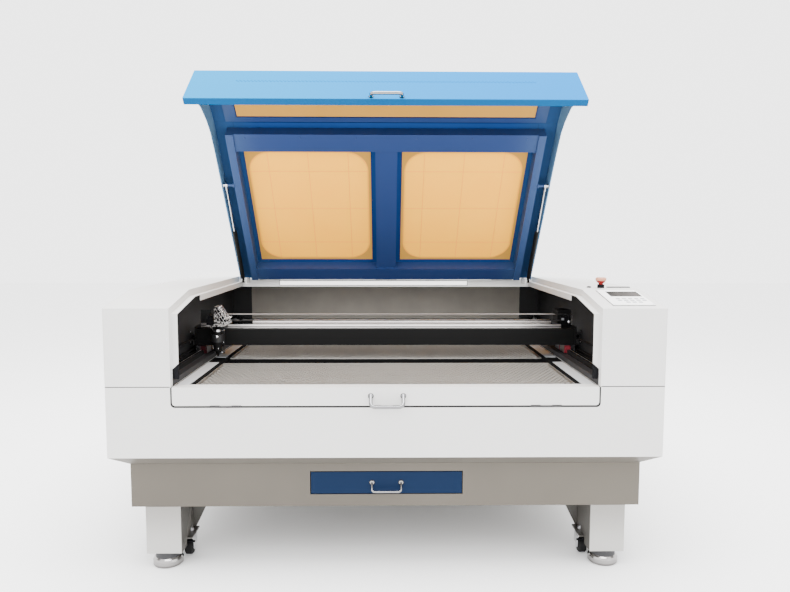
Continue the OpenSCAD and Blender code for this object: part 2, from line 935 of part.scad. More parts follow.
module x_rail() {
    zb = xbelt_z - xpulley_r;
    zt = xbelt_z + xpulley_r;
    color(silver)
        bx(-open_x - 13.5, open_x + 13.5, xrail_y - 7.5, xrail_y + 7.5, beam_top, beam_top + 15);
    color(black) {
        difference() {
            union() {
                bx(xidler_x, xdrive_x, xbelt_y, xbelt_y + 16, zb - 2, zt + 2);
                for (x = [xidler_x, xdrive_x])
                    translate([x, 0, xbelt_z])
                        rod_y(xpulley_r + 2, xbelt_y, xbelt_y + 16);
            }
            bx(xidler_x, xdrive_x, xbelt_y - eps, xbelt_y + 17, zb, zt);
            for (x = [xidler_x, xdrive_x])
                translate([x, 0, xbelt_z])
                    rod_y(xpulley_r, xbelt_y - eps, xbelt_y + 17);
        }
        translate([xidler_x, 0, xbelt_z]) {
            rod_y(xpulley_r - run, xbelt_y, xbelt_y + 16);
            rod_y(5, xbelt_y + 15, xbelt_y + 20);
        }
        bx(xidler_x - 34, xidler_x + 10, xbelt_y + 19, xbelt_y + 23, beam_top, xbelt_z + 30);
    }
}

module x_motor() {
    color(black)
        translate([xdrive_x, 0, xbelt_z]) {
            rod_y(xpulley_r - run, xbelt_y, xbelt_y + 16);
            rod_y(4, xbelt_y + 15, xbelt_y + 30);
            bx(-28.5, 28.5, xbelt_y + 30, gy1 + 30, -28.5, 28.5);
            bx(-28.5, beam_x - xdrive_x - gap, xbelt_y + 26, xbelt_y + 30, beam_top - xbelt_z, 28.5);
        }
}

head_x = -open_x + 33.5;
head_y = gy - 45;
plate_z = beam_top + 18.5;
lens_r = lens_dia / 2;
tube_top = plate_z - 11;

module head_carriage() {
    ring_z = beam_top - 45;
    color(silver) {
        difference() {
            bx(head_x - 38, head_x + 26, xrail_y - 20, xrail_y + 14, beam_top + 5, plate_z);
            bx(head_x - 45, head_x + 33, xrail_y - 7.6, xrail_y + 7.6, beam_top, beam_top + 15.1);
        }
        bx(head_x - 38, head_x + 30, head_y - 25, xbelt_y + 22, plate_z, plate_z + 6);
        along_x(head_x - 30, head_x + 10)
            polygon([[xbelt_y + 17, plate_z + 5], [xbelt_y + 22, plate_z + 5],
                     [xbelt_y + 22, xbelt_z + 20], [xbelt_y, xbelt_z + 20], [xbelt_y, xbelt_z + 14.3],
                     [xbelt_y + 16.3, xbelt_z + 14.3], [xbelt_y + 16.3, xbelt_z + 11.7],
                     [xbelt_y, xbelt_z + 11.7], [xbelt_y, xbelt_z - 8], [xbelt_y + 17, xbelt_z - 8]]);
        bx(head_x - 25, head_x + 22, gy - 20, gy - 14, ring_z - 15, plate_z);
        difference() {
            union() {
                translate([head_x, head_y, 0])
                    rod_z(lens_r + 6, ring_z, ring_z + 30);
                bx(head_x - 12, head_x + 12, head_y, gy - 19, ring_z, ring_z + 30);
            }
            translate([head_x, head_y, 0])
                rod_z(lens_r + run, ring_z - eps, ring_z + 31);
        }
        difference() {
            translate([head_x, 0, 0])
                along_y(head_y - 22, head_y + 22)
                    polygon([[-7, plate_z + 6], [34, plate_z + 6], [49, plate_z + 17],
                             [7, plate_z + 82], [-7, plate_z + 79]]);
            translate([0, head_y, plate_z + 32])
                rod_x(8, head_x - 10, head_x + 12);
        }
    }
}

module lens_tube() {
    color(black)
        translate([head_x, head_y, 0])
            rotate_extrude()
                polygon([[0, tube_top], [0, seam_z + 17], [3, seam_z + 17], [9, seam_z + 36],
                         [lens_r - 2, seam_z + 40], [lens_r - 2, seam_z + 60], [lens_r, seam_z + 62],
                         [lens_r, tube_top]]);
}

// ---------------------------------------------------------------- inside the covers
module laser_tube() {
    floor_z = seam_z + 60;
    tube_y = back_y + 66;
    tube_z = floor_z + 50 + tube_dia / 2;
    color(silver)
        translate([0, tube_y, tube_z])
            rod_x(tube_dia / 2, -bay_x + 40, bay_x - 40);
    color(black)
        both()
            difference() {
                bx(bay_x - 240, bay_x - 200, tube_y - 46, tube_y + 46, floor_z, tube_z - 5);
                translate([0, tube_y, tube_z])
                    rod_x(tube_dia / 2 + gap, bay_x - 250, bay_x - 190);
            }
}

module power_supply() {
    color(grey)
        bx(-hw + 12, -wall_x - 12, -50, 350, seam_z, seam_z + 180);
}

module controller() {
    color(black)
        bx(wall_x + 12, hw - 12, -130, 150, seam_z, seam_z + 70);
}

// ---------------------------------------------------------------- controls on the right cover
lcd_x1 = hw - 38;
lcd_x0 = lcd_x1 - 101;
lcd_s0 = panel_s0 + 108;
lcd_s1 = lcd_s0 + 57;

module control_panel() {
    color(grey)
        on_bevel()
            difference() {
                union() {
                    bx(panel_x0, panel_x1, panel_s0, panel_s1, 0, 3);
                    bx(box_x0, box_x1, panel_s0 + 8, panel_s1 - 8, -24, eps);
                }
                bx(lcd_x0 - 0.2, lcd_x1 + 0.2, lcd_s0 - 0.2, lcd_s1 + 0.2, 1.5, 4);
            }
}

module display() {
    color(black)
        on_bevel()
            bx(lcd_x0, lcd_x1, lcd_s0, lcd_s1, 1.5, 3.4);
}

module switch_collars() {
    color(black) {
        translate([stop_x, stop_y, 0])
            difference() {
                union() {
                    rod_z(11, top_z - 40, top_z + 1);
                    rod_z(13, top_z, top_z + 13);
                }
                rod_z(8 + run, top_z - 30, top_z + 14);
            }
        translate([key_x, key_y, 0])
            difference() {
                union() {
                    rod_z(6, top_z - 30, top_z + 1);
                    rod_z(8, top_z, top_z + 4);
                }
                rod_z(4 + run, top_z - 20, top_z + 6);
            }
        bx(meter_x - 42, meter_x + 42, key_y - 9, key_y + 9, top_z, top_z + 3);
    }
}

module estop_button() {
    color(red)
        translate([stop_x, stop_y, 0])
            rotate_extrude()
                polygon([[0, top_z - 20], [8, top_z - 20], [8, top_z + 18.5], [11, top_z + 18.5],
                         [stop_dia / 2 - 4, top_z + 24], [stop_dia / 2, top_z + 31],
                         [stop_dia / 2, top_z + 36], [stop_dia / 2 - 4, top_z + 39.5], [0, top_z + 40]]);
}

module key_switch() {
    color(silver)
        translate([key_x, key_y, 0]) {
            rod_z(4, top_z - 15, top_z + 4.5);
            bx(-1, 1, -3.5, 3.5, top_z + 4, top_z + 6);
        }
}

module exhaust_ducts() {
    color(silver)
        both()
            translate([duct_x, 0, duct_z])
                difference() {
                    union() {
                        rod_y(duct_dia / 2 + 15, by, by + 3);
                        rod_y(duct_dia / 2, by, by + 35);
                    }
                    rod_y(duct_dia / 2 - sheet, by - eps, by + 36);
                }
}

// ---------------------------------------------------------------- front door and drawer
module front_door() {
    z0 = door_axis_z + 1.5;
    color(white) {
        difference() {
            union() {
                door_plate(door_x, z0, door_top, fy, fy + sheet);
                bx(-door_x, door_x, fy, fy + door_flange, door_top - sheet, door_top);
                both()
                    bx(door_x - sheet, door_x, fy, fy + 20, z0 + door_r + 2, door_top);
            }
            at_door_hinges()
                both()
                    bx(barrel_mid, barrel_end + eps, -5, 5, -4, 4.5);
        }
        at_door_hinges() {
            turning_barrel(door_barrel_r, door_pin_r);
            bx(-barrel_mid, barrel_mid, 1, 3, 2, 9);
        }
    }
}

module door_handle() {
    color(silver)
        translate([1.5, fy, door_axis_z + 35])
            pull(107, pull_reach, pull_reach, pull_r, 8);
}

module drawer() {
    x = drawer_w / 2;
    xi = x - 12;
    z0 = drawer_z + 3;
    color(blue) {
        bx(-x, x, -plinth_y, -plinth_y + 3, drawer_z, drawer_z + drawer_h);
        tray(-xi, xi, -plinth_y + 3, -plinth_y + drawer_d + 3, z0, drawer_z + drawer_h - 6, 1.5);
    }
}

module drawer_handle() {
    color(silver)
        translate([0, -plinth_y, drawer_z + 38])
            pull(99, 24, 24, 4, 8);
}

// ---------------------------------------------------------------- legs, feet and casters
leg_x1 = plinth_x - leg_in;
leg_x0 = leg_x1 - leg_w;
leg_y0 = -plinth_y + 1;
leg_y1 = leg_y0 + leg_d;
foot_x = leg_x0 + 60;
foot_y = leg_y0 + 43;
cast_x = leg_x0 + 2;
cast_y = leg_y0 + 120;
cast_plate = leg_bottom + 25;
recess_y = leg_y0 + 62;
axle_z = wheel_dia / 2 + 3;
trail = 18;
fork_x = wheel_w / 2 + 1;
fork_top = axle_z + 38;
brake_z = axle_z + 29.5;
brake_y = -30;

module leg() {
    t = 3;
    color(grey)
        difference() {
            union() {
                difference() {
                    bx(leg_x0, leg_x1, leg_y0, leg_y1, leg_bottom, leg_top);
                    bx(leg_x0 + t, leg_x1 - t, leg_y0 + t, leg_y1 - t, leg_bottom + t, leg_top - t);
                    bx(leg_x0 - eps, leg_x1 - t, recess_y, leg_y1 + eps, leg_bottom - eps, cast_plate);
                }
                bx(cast_x - 20, leg_x1 - t, recess_y - t, leg_y1, cast_plate, cast_plate + 5);
                along_y(leg_y1 - t, leg_y1)
                    polygon([[leg_x0 - 5, cast_plate], [leg_x0 - 42, leg_bottom + 101],
                             [leg_x0 - 76, leg_top], [leg_x0 + t, leg_top], [leg_x0 + t, cast_plate]]);
            }
            translate([cast_x, cast_y, 0]) {
                rod_z(14, cast_plate + 5, cast_plate + 20);
                rod_z(6 + run, cast_plate - eps, cast_plate + 6);
            }
            translate([foot_x, foot_y, 0])
                rod_z(stud_dia / 2 + run, leg_bottom - eps, leg_bottom + t + eps);
        }
}

module legs() {
    front_rear()
        both()
            leg();
}

module foot() {
    r = foot_dia / 2;
    hub = leg_bottom - gap;
    color(silver)
        translate([foot_x, foot_y, 0])
            rotate_extrude()
                polygon([[0, 0], [r - 4, 0], [r, 4], [r, 20], [r - 3, 26], [r - 8, 30], [r - 9, 30],
                         [r - 9, hub - 2], [r - 11, hub], [stud_dia / 2, hub],
                         [stud_dia / 2, leg_bottom + 60], [0, leg_bottom + 60]]);
}

module foot_front_right() {
    foot();
}

module foot_front_left() {
    mirror([1, 0, 0])
        foot();
}

module foot_rear_right() {
    mirror([0, 1, 0])
        foot();
}

module foot_rear_left() {
    mirror([0, 1, 0])
        mirror([1, 0, 0])
            foot();
}

// A caster fork about its own stem axis, with the wheel trailing towards -Y.
module fork() {
    color(silver) {
        both()
            difference() {
                union() {
                    bx(fork_x, fork_x + 2.5, -trail - 9, 12, axle_z + 6, fork_top);
                    translate([0, -trail, axle_z])
                        rod_x(9, fork_x, fork_x + 2.5);
                    bx(fork_x, fork_x + 2.5, -trail - 9, -trail + 9, axle_z, axle_z + 7);
                    bx(fork_x, fork_x + 2.5, -trail - 16, 0, brake_z - 5, fork_top);
                }
            }
        bx(-fork_x - 2.5, fork_x + 2.5, -trail + 4, 14, fork_top, fork_top + 3);
        translate([0, -trail, axle_z])
            rod_x(4, -fork_x - 4, fork_x + 4);
        translate([0, brake_y, brake_z])
            rod_x(2, -fork_x - 2.5, fork_x + 2.5);
        rod_z(14, fork_top + 2, cast_plate - gap);
        rod_z(6, fork_top, cast_plate + 14);
        rod_z(10, cast_plate + 5 + gap, cast_plate + 12);
    }
}

module brake() {
    color(dark)
        difference() {
            union() {
                translate([0, brake_y, brake_z])
                    rod_x(4.5, -fork_x + gap, fork_x - gap);
                bx(-fork_x + gap, fork_x - gap, brake_y - 10, brake_y, brake_z - 2, brake_z + 2);
                bx(-24, 24, brake_y - 14, brake_y - 5.5, brake_z - 2, brake_z + 2);
            }
            translate([0, brake_y, brake_z])
                rod_x(2 + run, -fork_x, fork_x);
        }
}

module wheel() {
    r = wheel_dia / 2;
    color(black)
        translate([0, -trail, axle_z])
            rotate([0, 90, 0])
                rotate_extrude()
                    polygon([[4 + run, -wheel_w / 2], [r - 4, -wheel_w / 2], [r, -wheel_w / 2 + 4],
                             [r, wheel_w / 2 - 4], [r - 4, wheel_w / 2], [4 + run, wheel_w / 2]]);
}

module caster_place(sx, sy) {
    translate([sx * cast_x, sy * cast_y, 0])
        children();
}

module fork_front_right() {
    caster_place(1, 1)
        fork();
}

module fork_front_left() {
    caster_place(-1, 1)
        fork();
}

module rear_forks() {
    for (sx = [-1, 1])
        mirror([0, 1, 0])
            caster_place(sx, 1)
                fork();
}

module wheel_front_right() {
    caster_place(1, 1)
        wheel();
}

module wheel_front_left() {
    caster_place(-1, 1)
        wheel();
}

module wheel_rear_right() {
    mirror([0, 1, 0])
        caster_place(1, 1)
            wheel();
}

module wheel_rear_left() {
    mirror([0, 1, 0])
        caster_place(-1, 1)
            wheel();
}

module brake_right() {
    caster_place(1, 1)
        brake();
}

module brake_left() {
    caster_place(-1, 1)
        brake();
}

lower_body();
base_frame();
debris_hopper();
left_cover();
right_cover();
left_wall();
right_wall();
back_wall();
rear_panel();
rear_deck();
tube_cover();
hinge_pins();
lid_shell();
lid_frame();
lid_windows();
lid_handle();
left_strut_tube();
right_strut_tube();
left_strut_rod();
right_strut_rod();
bed_frame();
bed_strips();
honeycomb();
y_rails();
y_belts();
y_shaft();
y_motor();
gantry_beam();
rail_blocks();
x_rail();
x_motor();
head_carriage();
lens_tube();
laser_tube();
power_supply();
controller();
control_panel();
display();
switch_collars();
estop_button();
key_switch();
exhaust_ducts();
front_door();
door_handle();
drawer();
drawer_handle();
legs();
foot_front_right();
foot_front_left();
foot_rear_right();
foot_rear_left();
fork_front_right();
fork_front_left();
rear_forks();
wheel_front_right();
wheel_front_left();
wheel_rear_right();
wheel_rear_left();
brake_right();
brake_left();
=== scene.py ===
"""Laser cutting machine: finishes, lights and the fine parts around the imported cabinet."""
import json
import math

import bmesh
import bpy
from mathutils import Matrix, Vector


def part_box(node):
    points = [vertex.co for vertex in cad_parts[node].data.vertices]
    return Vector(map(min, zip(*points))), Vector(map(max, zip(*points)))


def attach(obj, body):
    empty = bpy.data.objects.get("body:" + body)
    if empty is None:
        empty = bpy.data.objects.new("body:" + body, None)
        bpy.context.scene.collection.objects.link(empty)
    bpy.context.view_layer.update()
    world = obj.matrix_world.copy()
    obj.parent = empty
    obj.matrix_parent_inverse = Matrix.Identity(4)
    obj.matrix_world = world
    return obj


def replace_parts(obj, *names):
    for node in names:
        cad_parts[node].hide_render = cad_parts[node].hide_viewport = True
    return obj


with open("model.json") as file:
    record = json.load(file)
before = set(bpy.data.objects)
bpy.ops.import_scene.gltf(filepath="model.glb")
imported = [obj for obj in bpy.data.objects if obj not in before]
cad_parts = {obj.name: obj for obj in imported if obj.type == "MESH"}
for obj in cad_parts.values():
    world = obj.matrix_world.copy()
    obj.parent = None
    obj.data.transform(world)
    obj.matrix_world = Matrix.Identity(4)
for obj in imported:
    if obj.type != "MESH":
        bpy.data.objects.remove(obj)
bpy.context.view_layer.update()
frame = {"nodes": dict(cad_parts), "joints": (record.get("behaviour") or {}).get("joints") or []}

MM = 0.001


def mm(*points):
    """Points measured in millimetres."""
    return [tuple(value * MM for value in point) for point in points]


# ------------------------------------------------------------------ places taken from the frame


def box(node):
    low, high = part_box(node)
    return Vector(low), Vector(high)


def joint(name):
    return next(j for j in frame["joints"] if j["name"] == name)


cover_low, cover_high = box("right_cover")
deck_low = box("rear_deck")[0]
plinth_low, plinth_high = box("base_frame")
beam_low, beam_high = box("gantry_beam")
lens_low = box("lens_tube")[0]

FRONT = cover_low.y
REAR = cover_high.y
HALF = cover_high.x
SEAM = cover_low.z
TOP = cover_high.z
LEDGE_X = cover_low.x
OPEN_X = LEDGE_X + 20.5 * MM
LID_X = OPEN_X - 6.5 * MM
PANEL_X = OPEN_X - 2.5 * MM
FRONT_EDGE = SEAM + 260 * MM
BEVEL = 238 * MM
HINGE = Vector(joint("lid_hinge")["pos_m"])
LID_OPEN = math.radians(joint("lid_hinge")["range_deg"][1])
LID_EDGE = FRONT_EDGE - 4 * MM
LID_BOTTOM = LID_EDGE - 206 * MM
FRAME_X = LID_X - 66 * MM
RIM_Z = TOP - 60 * MM
WIN_Y0 = FRONT + BEVEL + 132 * MM
WIN_Y1 = WIN_Y0 + 575 * MM
WIN_X0 = 75 * MM
WIN_X1 = 573 * MM
BEVEL_TILT = math.atan2(TOP - FRONT_EDGE, BEVEL)

OPENING_X = OPEN_X - 0.5 * MM
OPENING_Z = SEAM - 65.5 * MM
OPENING_R = 12 * MM
SKIRT_TOP = plinth_high.z + 37 * MM
BEAM_TOP = SEAM + 120 * MM
BEAM_Y0, BEAM_Y1 = beam_low.y + 4 * MM, beam_high.y - 4 * MM
PANEL_X0, PANEL_X1 = OPEN_X + 45.5 * MM, HALF - 28 * MM
PANEL_S0, PANEL_S1 = 34 * MM, BEVEL - 13 * MM
LCD_X0, LCD_X1 = HALF - 139 * MM, HALF - 38 * MM
LCD_S0 = PANEL_S0 + 108 * MM

raise_lid = (Matrix.Translation(HINGE) @ Matrix.Rotation(-LID_OPEN, 4, "X")
             @ Matrix.Translation(-HINGE))
on_bevel = Matrix.Translation((0, FRONT, FRONT_EDGE)) @ Matrix.Rotation(BEVEL_TILT, 4, "X")


# ------------------------------------------------------------------ finishes


class Field:
    """One value in a finish's node tree, so that a pattern is written as ordinary arithmetic."""

    def __init__(self, finish, socket):
        self.finish = finish
        self.socket = socket

    def math(self, operation, *values):
        return self.finish.node("Math", {"operation": operation}, dict(enumerate(values)))

    def __add__(self, other):
        return self.math("ADD", self, other)

    def __sub__(self, other):
        return self.math("SUBTRACT", self, other)

    def __rsub__(self, other):
        return self.math("SUBTRACT", other, self)

    def __mul__(self, other):
        return self.math("MULTIPLY", self, other)

    def __truediv__(self, other):
        return self.math("DIVIDE", self, other)

    def __pow__(self, other):
        return self.math("POWER", self, other)

    def __mod__(self, other):
        return self.math("FLOORED_MODULO", self, other)

    def __abs__(self):
        return self.math("ABSOLUTE", self)

    def __lt__(self, other):
        return self.math("LESS_THAN", self, other)

    def __gt__(self, other):
        return self.math("GREATER_THAN", self, other)

    def most(self, other):
        return self.math("MAXIMUM", self, other)

    def least(self, other):
        return self.math("MINIMUM", self, other)

    __radd__ = __add__
    __rmul__ = __mul__


class Finish:
    """A material built around one Principled shader."""

    def __init__(self, name, colour, roughness, metallic=0.0, **sockets):
        self.material = bpy.data.materials.new(name)
        self.material.use_nodes = True
        self.tree = self.material.node_tree
        self.shader = self.tree.nodes["Principled BSDF"]
        self.colour = (*colour, 1.0)
        self.shader.inputs["Base Color"].default_value = self.colour
        self.shader.inputs["Roughness"].default_value = roughness
        self.shader.inputs["Metallic"].default_value = metallic
        for socket, value in sockets.items():
            self.shader.inputs[socket.replace("_", " ")].default_value = value
        self.coordinates = None

    def node(self, kind, settings=None, sockets=None, out=0):
        made = self.tree.nodes.new("ShaderNode" + kind)
        for key, value in (settings or {}).items():
            if key == "stops":
                ramp = made.color_ramp.elements
                for element, (place, colour) in zip((ramp[0], ramp[1]), value):
                    element.position = place
                    element.color = colour
                for place, colour in value[2:]:
                    ramp.new(place).color = colour
            else:
                setattr(made, key, value)
        for key, value in (sockets or {}).items():
            if isinstance(value, Field):
                self.tree.links.new(value.socket, made.inputs[key])
            else:
                made.inputs[key].default_value = value
        return Field(self, made.outputs[out])

    def feed(self, socket, value):
        self.tree.links.new(value.socket, self.shader.inputs[socket])

    def place(self):
        if self.coordinates is None:
            self.coordinates = self.node("TexCoord", out="Object")
        return self.coordinates

    def axis(self, letter, vector=None):
        return self.node("SeparateXYZ", None, {0: vector or self.place()}, "XYZ".index(letter))

    def noise(self, scale, detail=2.0, vector=None):
        return self.node("TexNoise", None,
                         {"Vector": vector or self.place(), "Scale": scale, "Detail": detail})

    def stretched(self, x, y, z):
        return self.node("Mapping", None, {"Vector": self.place(), "Scale": (x, y, z)})

    def mix(self, factor, first, second):
        return self.node("Mix", {"data_type": "RGBA"}, {0: factor, 6: first, 7: second}, 2)

    def bump(self, height, distance, strength=1.0):
        self.feed("Normal", self.node("Bump", None, {"Height": height, "Distance": distance,
                                                     "Strength": strength}))

    def orange_peel(self, strength=0.25):
        """The fine dimples of baked powder paint."""
        self.bump(self.noise(650.0, 1.0), 0.15 * MM, strength)

    def step(self, value, low, high):
        return self.node("MapRange", {"interpolation_type": "SMOOTHSTEP"},
                         {"Value": value, "From Min": low, "From Max": high})


WHITE = (0.58, 0.574, 0.56)
LID_BLUE = (0.0, 0.16, 0.38)
# black painted round the door and its opening as the shadow in the gap
GAP_SHADE_BLACK = (0.012, 0.011, 0.011, 1)


def shade(colour, amount):
    """A colour made darker or paler."""
    return tuple(channel * amount for channel in colour[:3]) + (1.0,)


def white_coat(name):
    """White powder paint before any painted shadow, with its slow drift of tone."""
    paint = Finish(name, WHITE, 0.42)
    fair = paint.mix(paint.noise(1.7, 3.0), (0.56, 0.554, 0.54, 1), (0.60, 0.594, 0.58, 1))
    return paint, fair


def pitted(metal, dark, bright):
    """Machined lands over darker pits, and how far a point is on a land."""
    lands = metal.step(metal.noise(150.0, 3.0), 0.43, 0.55)
    return metal.mix(lands, dark, bright), lands


def powder_coat(name, colour, roughness=0.42, mottle=0.04, gloss=0.5):
    """Baked powder paint: a faint orange-peel skin with a slow drift of tone."""
    paint = Finish(name, colour, roughness, Specular_IOR_Level=gloss)
    drift = paint.noise(1.7, 3.0)
    paler, darker = shade(colour, 1.0 + mottle), shade(colour, 1.0 - mottle)
    paint.feed("Base Color", paint.mix(drift, darker, paler))
    paint.feed("Roughness", roughness - 0.05 + 0.1 * paint.noise(6.0, 2.0))
    paint.orange_peel()
    return paint.material


def brushed_metal(name, colour, roughness=0.3, across=(4.0, 900.0, 900.0)):
    """Metal with a fine grain along one axis; across gives how closely each axis repeats."""
    metal = Finish(name, colour, roughness, 1.0)
    grain = metal.noise(1.0, 2.0, metal.stretched(*across))
    metal.feed("Roughness", roughness - 0.08 + 0.16 * grain)
    metal.feed("Base Color", metal.mix(grain, shade(colour, 0.88), shade(colour, 1.08)))
    return metal.material


def plain_metal(name, colour, roughness):
    """Bare or plated metal whose polish varies a little."""
    metal = Finish(name, colour, roughness, 1.0)
    metal.feed("Roughness", roughness - 0.03 + 0.08 * metal.noise(30.0, 3.0))
    return metal.material


def moulded(name, colour, roughness, coat=0.0, gloss=0.5):
    """Moulded plastic or rubber with a fine tooth."""
    plastic = Finish(name, colour, roughness, Coat_Weight=coat, Specular_IOR_Level=gloss)
    plastic.feed("Roughness", roughness - 0.04 + 0.08 * plastic.noise(45.0, 2.0))
    plastic.bump(plastic.noise(1100.0, 1.0), 0.05 * MM, 0.3)
    return plastic.material


def lcd_glass(name):
    """A dark display with a paler glimmer painted on as a reflection towards its right, and faint
    rows.
    """
    glass = Finish(name, (0.02, 0.022, 0.025), 0.75, Specular_IOR_Level=0.03)
    across = glass.axis("X")
    # painted reflection: the screen grows paler towards its right, as if a lamp caught it
    painted_sheen = glass.step(across + 0.4 * glass.noise(9.0, 2.0), LCD_X0 + 160 * MM, LCD_X1 + 220 * MM)
    rows = (glass.axis("Y") % (9 * MM)) < 1.2 * MM
    face = glass.mix(painted_sheen, (0.018, 0.017, 0.016, 1), (0.085, 0.078, 0.073, 1))
    glass.feed("Base Color", glass.mix(rows * 0.3, face, (0.07, 0.074, 0.078, 1)))
    glass.feed("Roughness", 0.7 + 0.1 * glass.noise(30.0))
    return glass.material


def two_tone_back(name):
    """The back sheet is grey between the covers and black in the side bays."""
    paint = Finish(name, (0.2, 0.185, 0.165), 0.5)
    side = abs(paint.axis("X")) > OPEN_X
    worn = paint.mix(paint.noise(9.0, 4.0), (0.26, 0.238, 0.21, 1), (0.40, 0.365, 0.32, 1))
    paint.feed("Base Color", paint.mix(side, worn, (0.012, 0.012, 0.013, 1)))
    return paint.material


def foot_finish(name):
    """A bright pressed dish with a black hub and a bright stud above it; the dish is painted darker
    towards the floor as shade.
    """
    metal = Finish(name, (0.72, 0.72, 0.73), 0.22, 1.0)
    height = metal.axis("Z")
    black = (height > 30.5 * MM) * (height < 51.5 * MM)
    # painted shade: the dish darkens over its lowest 12 mm, towards the floor
    rim = metal.step(height, 1 * MM, 12 * MM)
    dish = metal.mix(rim, (0.09, 0.08, 0.075, 1), (0.30, 0.29, 0.285, 1))
    metal.feed("Base Color", metal.mix(black, dish, (0.012, 0.012, 0.014, 1)))
    metal.feed("Metallic", 1.0 - black)
    metal.feed("Roughness", 0.2 + 0.35 * black)
    return metal.material


def stop_finish(name):
    """A red stop button whose crown is painted pale as a highlight."""
    plastic = Finish(name, (0.42, 0.012, 0.008), 0.35, Specular_IOR_Level=0.15)
    top = box("estop_button")[1].z
    # painted highlight: the top of the crown is pale, standing for light falling on it
    painted_crown_highlight = plastic.step(plastic.axis("Z"), top - 15 * MM, top - 11 * MM)
    plastic.feed("Base Color", plastic.mix(painted_crown_highlight, (0.20, 0.005, 0.004, 1), (0.50, 0.24, 0.16, 1)))
    plastic.feed("Roughness", 0.32 + 0.08 * plastic.noise(45.0))
    return plastic.material


def cast_metal(name):
    """A bright casting with dark pits and machined lands."""
    metal = Finish(name, (0.8, 0.78, 0.76), 0.24, 1.0)
    tone, lands = pitted(metal, (0.07, 0.066, 0.065, 1), (0.95, 0.92, 0.90, 1))
    metal.feed("Base Color", tone)
    metal.feed("Roughness", 0.4 - 0.2 * lands)
    return metal.material


def block_finish(name):
    """Ground steel bearing blocks whose end seals are red, painted a darker red on the left as
    shade.
    """
    steel = Finish(name, (0.6, 0.6, 0.62), 0.3, 1.0)
    low, high = box("rail_blocks")
    pitch = 82 * MM
    near_seal, far_seal, block_end = 4.2 * MM, 73.8 * MM, 78.2 * MM
    along = steel.axis("Y") - low.y
    red = ((along % pitch) < near_seal).most((along % pitch) > far_seal)
    red = red * (along % pitch < block_end) * (abs(steel.axis("X")) < high.x - 20 * MM)
    # painted shade: the seals on the left-hand side are a darker red than those on the right
    seal = steel.mix(steel.axis("X") < 0.0, (0.18, 0.016, 0.026, 1), (0.035, 0.003, 0.005, 1))
    steel.feed("Base Color", steel.mix(red, (0.2, 0.2, 0.21, 1), seal))
    steel.feed("Metallic", 1.0 - red)
    return steel.material


def lowered(finish):
    """The place of a point on the raised lid, as it would be with the lid shut."""
    back = HINGE - Matrix.Rotation(LID_OPEN, 3, "X") @ HINGE
    return finish.node("Mapping", None, {"Vector": finish.place(), "Location": back,
                                         "Rotation": (LID_OPEN, 0.0, 0.0)})


def lid_skin(name):
    """Light blue outside and deep blue inside, with pressed slots along the front panel; painted
    light and shade lie over both.
    """
    slot_height, slot_reach, slot_pitch = LID_BOTTOM + 125 * MM, 540 * MM, 13 * MM
    paint = Finish(name, LID_BLUE, 0.45, Specular_IOR_Level=0.0)
    shut = lowered(paint)
    across, along, height = (paint.axis(letter, shut) for letter in "XYZ")
    rise = (TOP - LID_EDGE) / BEVEL
    under_slope = (LID_EDGE + rise * (along - FRONT) - height) / math.hypot(1.0, rise)
    depth = (along - FRONT).least(TOP - height).least(under_slope).least(LID_X - abs(across))
    inside = (depth > 1.0 * MM) * (height > LID_BOTTOM + 1.5 * MM)
    # painted light: the outer blue is paler towards the left side, with a random drift
    drift = paint.step(across + 0.25 * paint.noise(1.1, 2.0), -0.9, 0.9)
    outer = paint.mix(drift, (0.0, 0.175, 0.38, 1), (0.0, 0.135, 0.38, 1))
    # painted shade: the lid's bottom lip is a darker blue
    lip = (height < LID_BOTTOM + 2.5 * MM) * (along > FRONT + 1.2 * MM)
    outer = paint.mix(lip, outer, (0.004, 0.07, 0.19, 1))
    # painted shade: the pressed slots are dark, for the shadow inside them
    shaded_slots = (abs(height - slot_height) < 5 * MM) * (abs(across) < slot_reach)
    shaded_slots = shaded_slots * (((across + 1.2 * height) % slot_pitch) < 4.6 * MM)
    outer = paint.mix(shaded_slots * 0.8, outer, (0.004, 0.05, 0.15, 1))
    # painted shade: dark lines along the inner creases at the bevel and beside the frame
    crease = (abs(along - (FRONT + BEVEL)) < 2.2 * MM).most(
        abs(abs(across) - (LID_X - 92 * MM)) < 1.4 * MM)
    deep = paint.mix(paint.noise(2.4, 3.0), (0.008, 0.034, 0.135, 1), (0.013, 0.050, 0.185, 1))
    deep = paint.mix(crease * 0.75, deep, (0.002, 0.008, 0.035, 1))
    # painted sheen: the inner blue pales towards both sides
    side = paint.step(abs(across), 470 * MM, LID_X + 20 * MM)
    deep = paint.mix(side, deep, (0.024, 0.066, 0.155, 1))
    paint.feed("Base Color", paint.mix(inside, outer, deep))
    paint.feed("Roughness", 0.4 + 0.12 * paint.noise(7.0, 2.0))
    paint.orange_peel(0.2)
    return paint.material


def outside_rim(finish, half, bottom):
    """How far a point lies outside an upright plate's rim with rounded lower corners."""
    over_x = (abs(finish.axis("X")) - (half - OPENING_R)).most(0.0)
    over_z = ((bottom + OPENING_R) - finish.axis("Z")).most(0.0)
    return (over_x * over_x + over_z * over_z) ** 0.5 - OPENING_R


def door_finish(name):
    """The door's white paint with a black band painted round its rim and on its hinges as the
    shadow of the gap.
    """
    paint, fair = white_coat(name)
    # painted shadow: the door's outer 1.5 mm is black, for the shade in the gap round it
    edge = outside_rim(paint, OPENING_X - 2 * MM, OPENING_Z + 3 * MM) > -1.5 * MM
    paint.feed("Base Color", paint.mix(edge, fair, GAP_SHADE_BLACK))
    paint.feed("Roughness", 0.38 + 0.1 * paint.noise(6.0, 2.0))
    paint.orange_peel()
    return paint.material


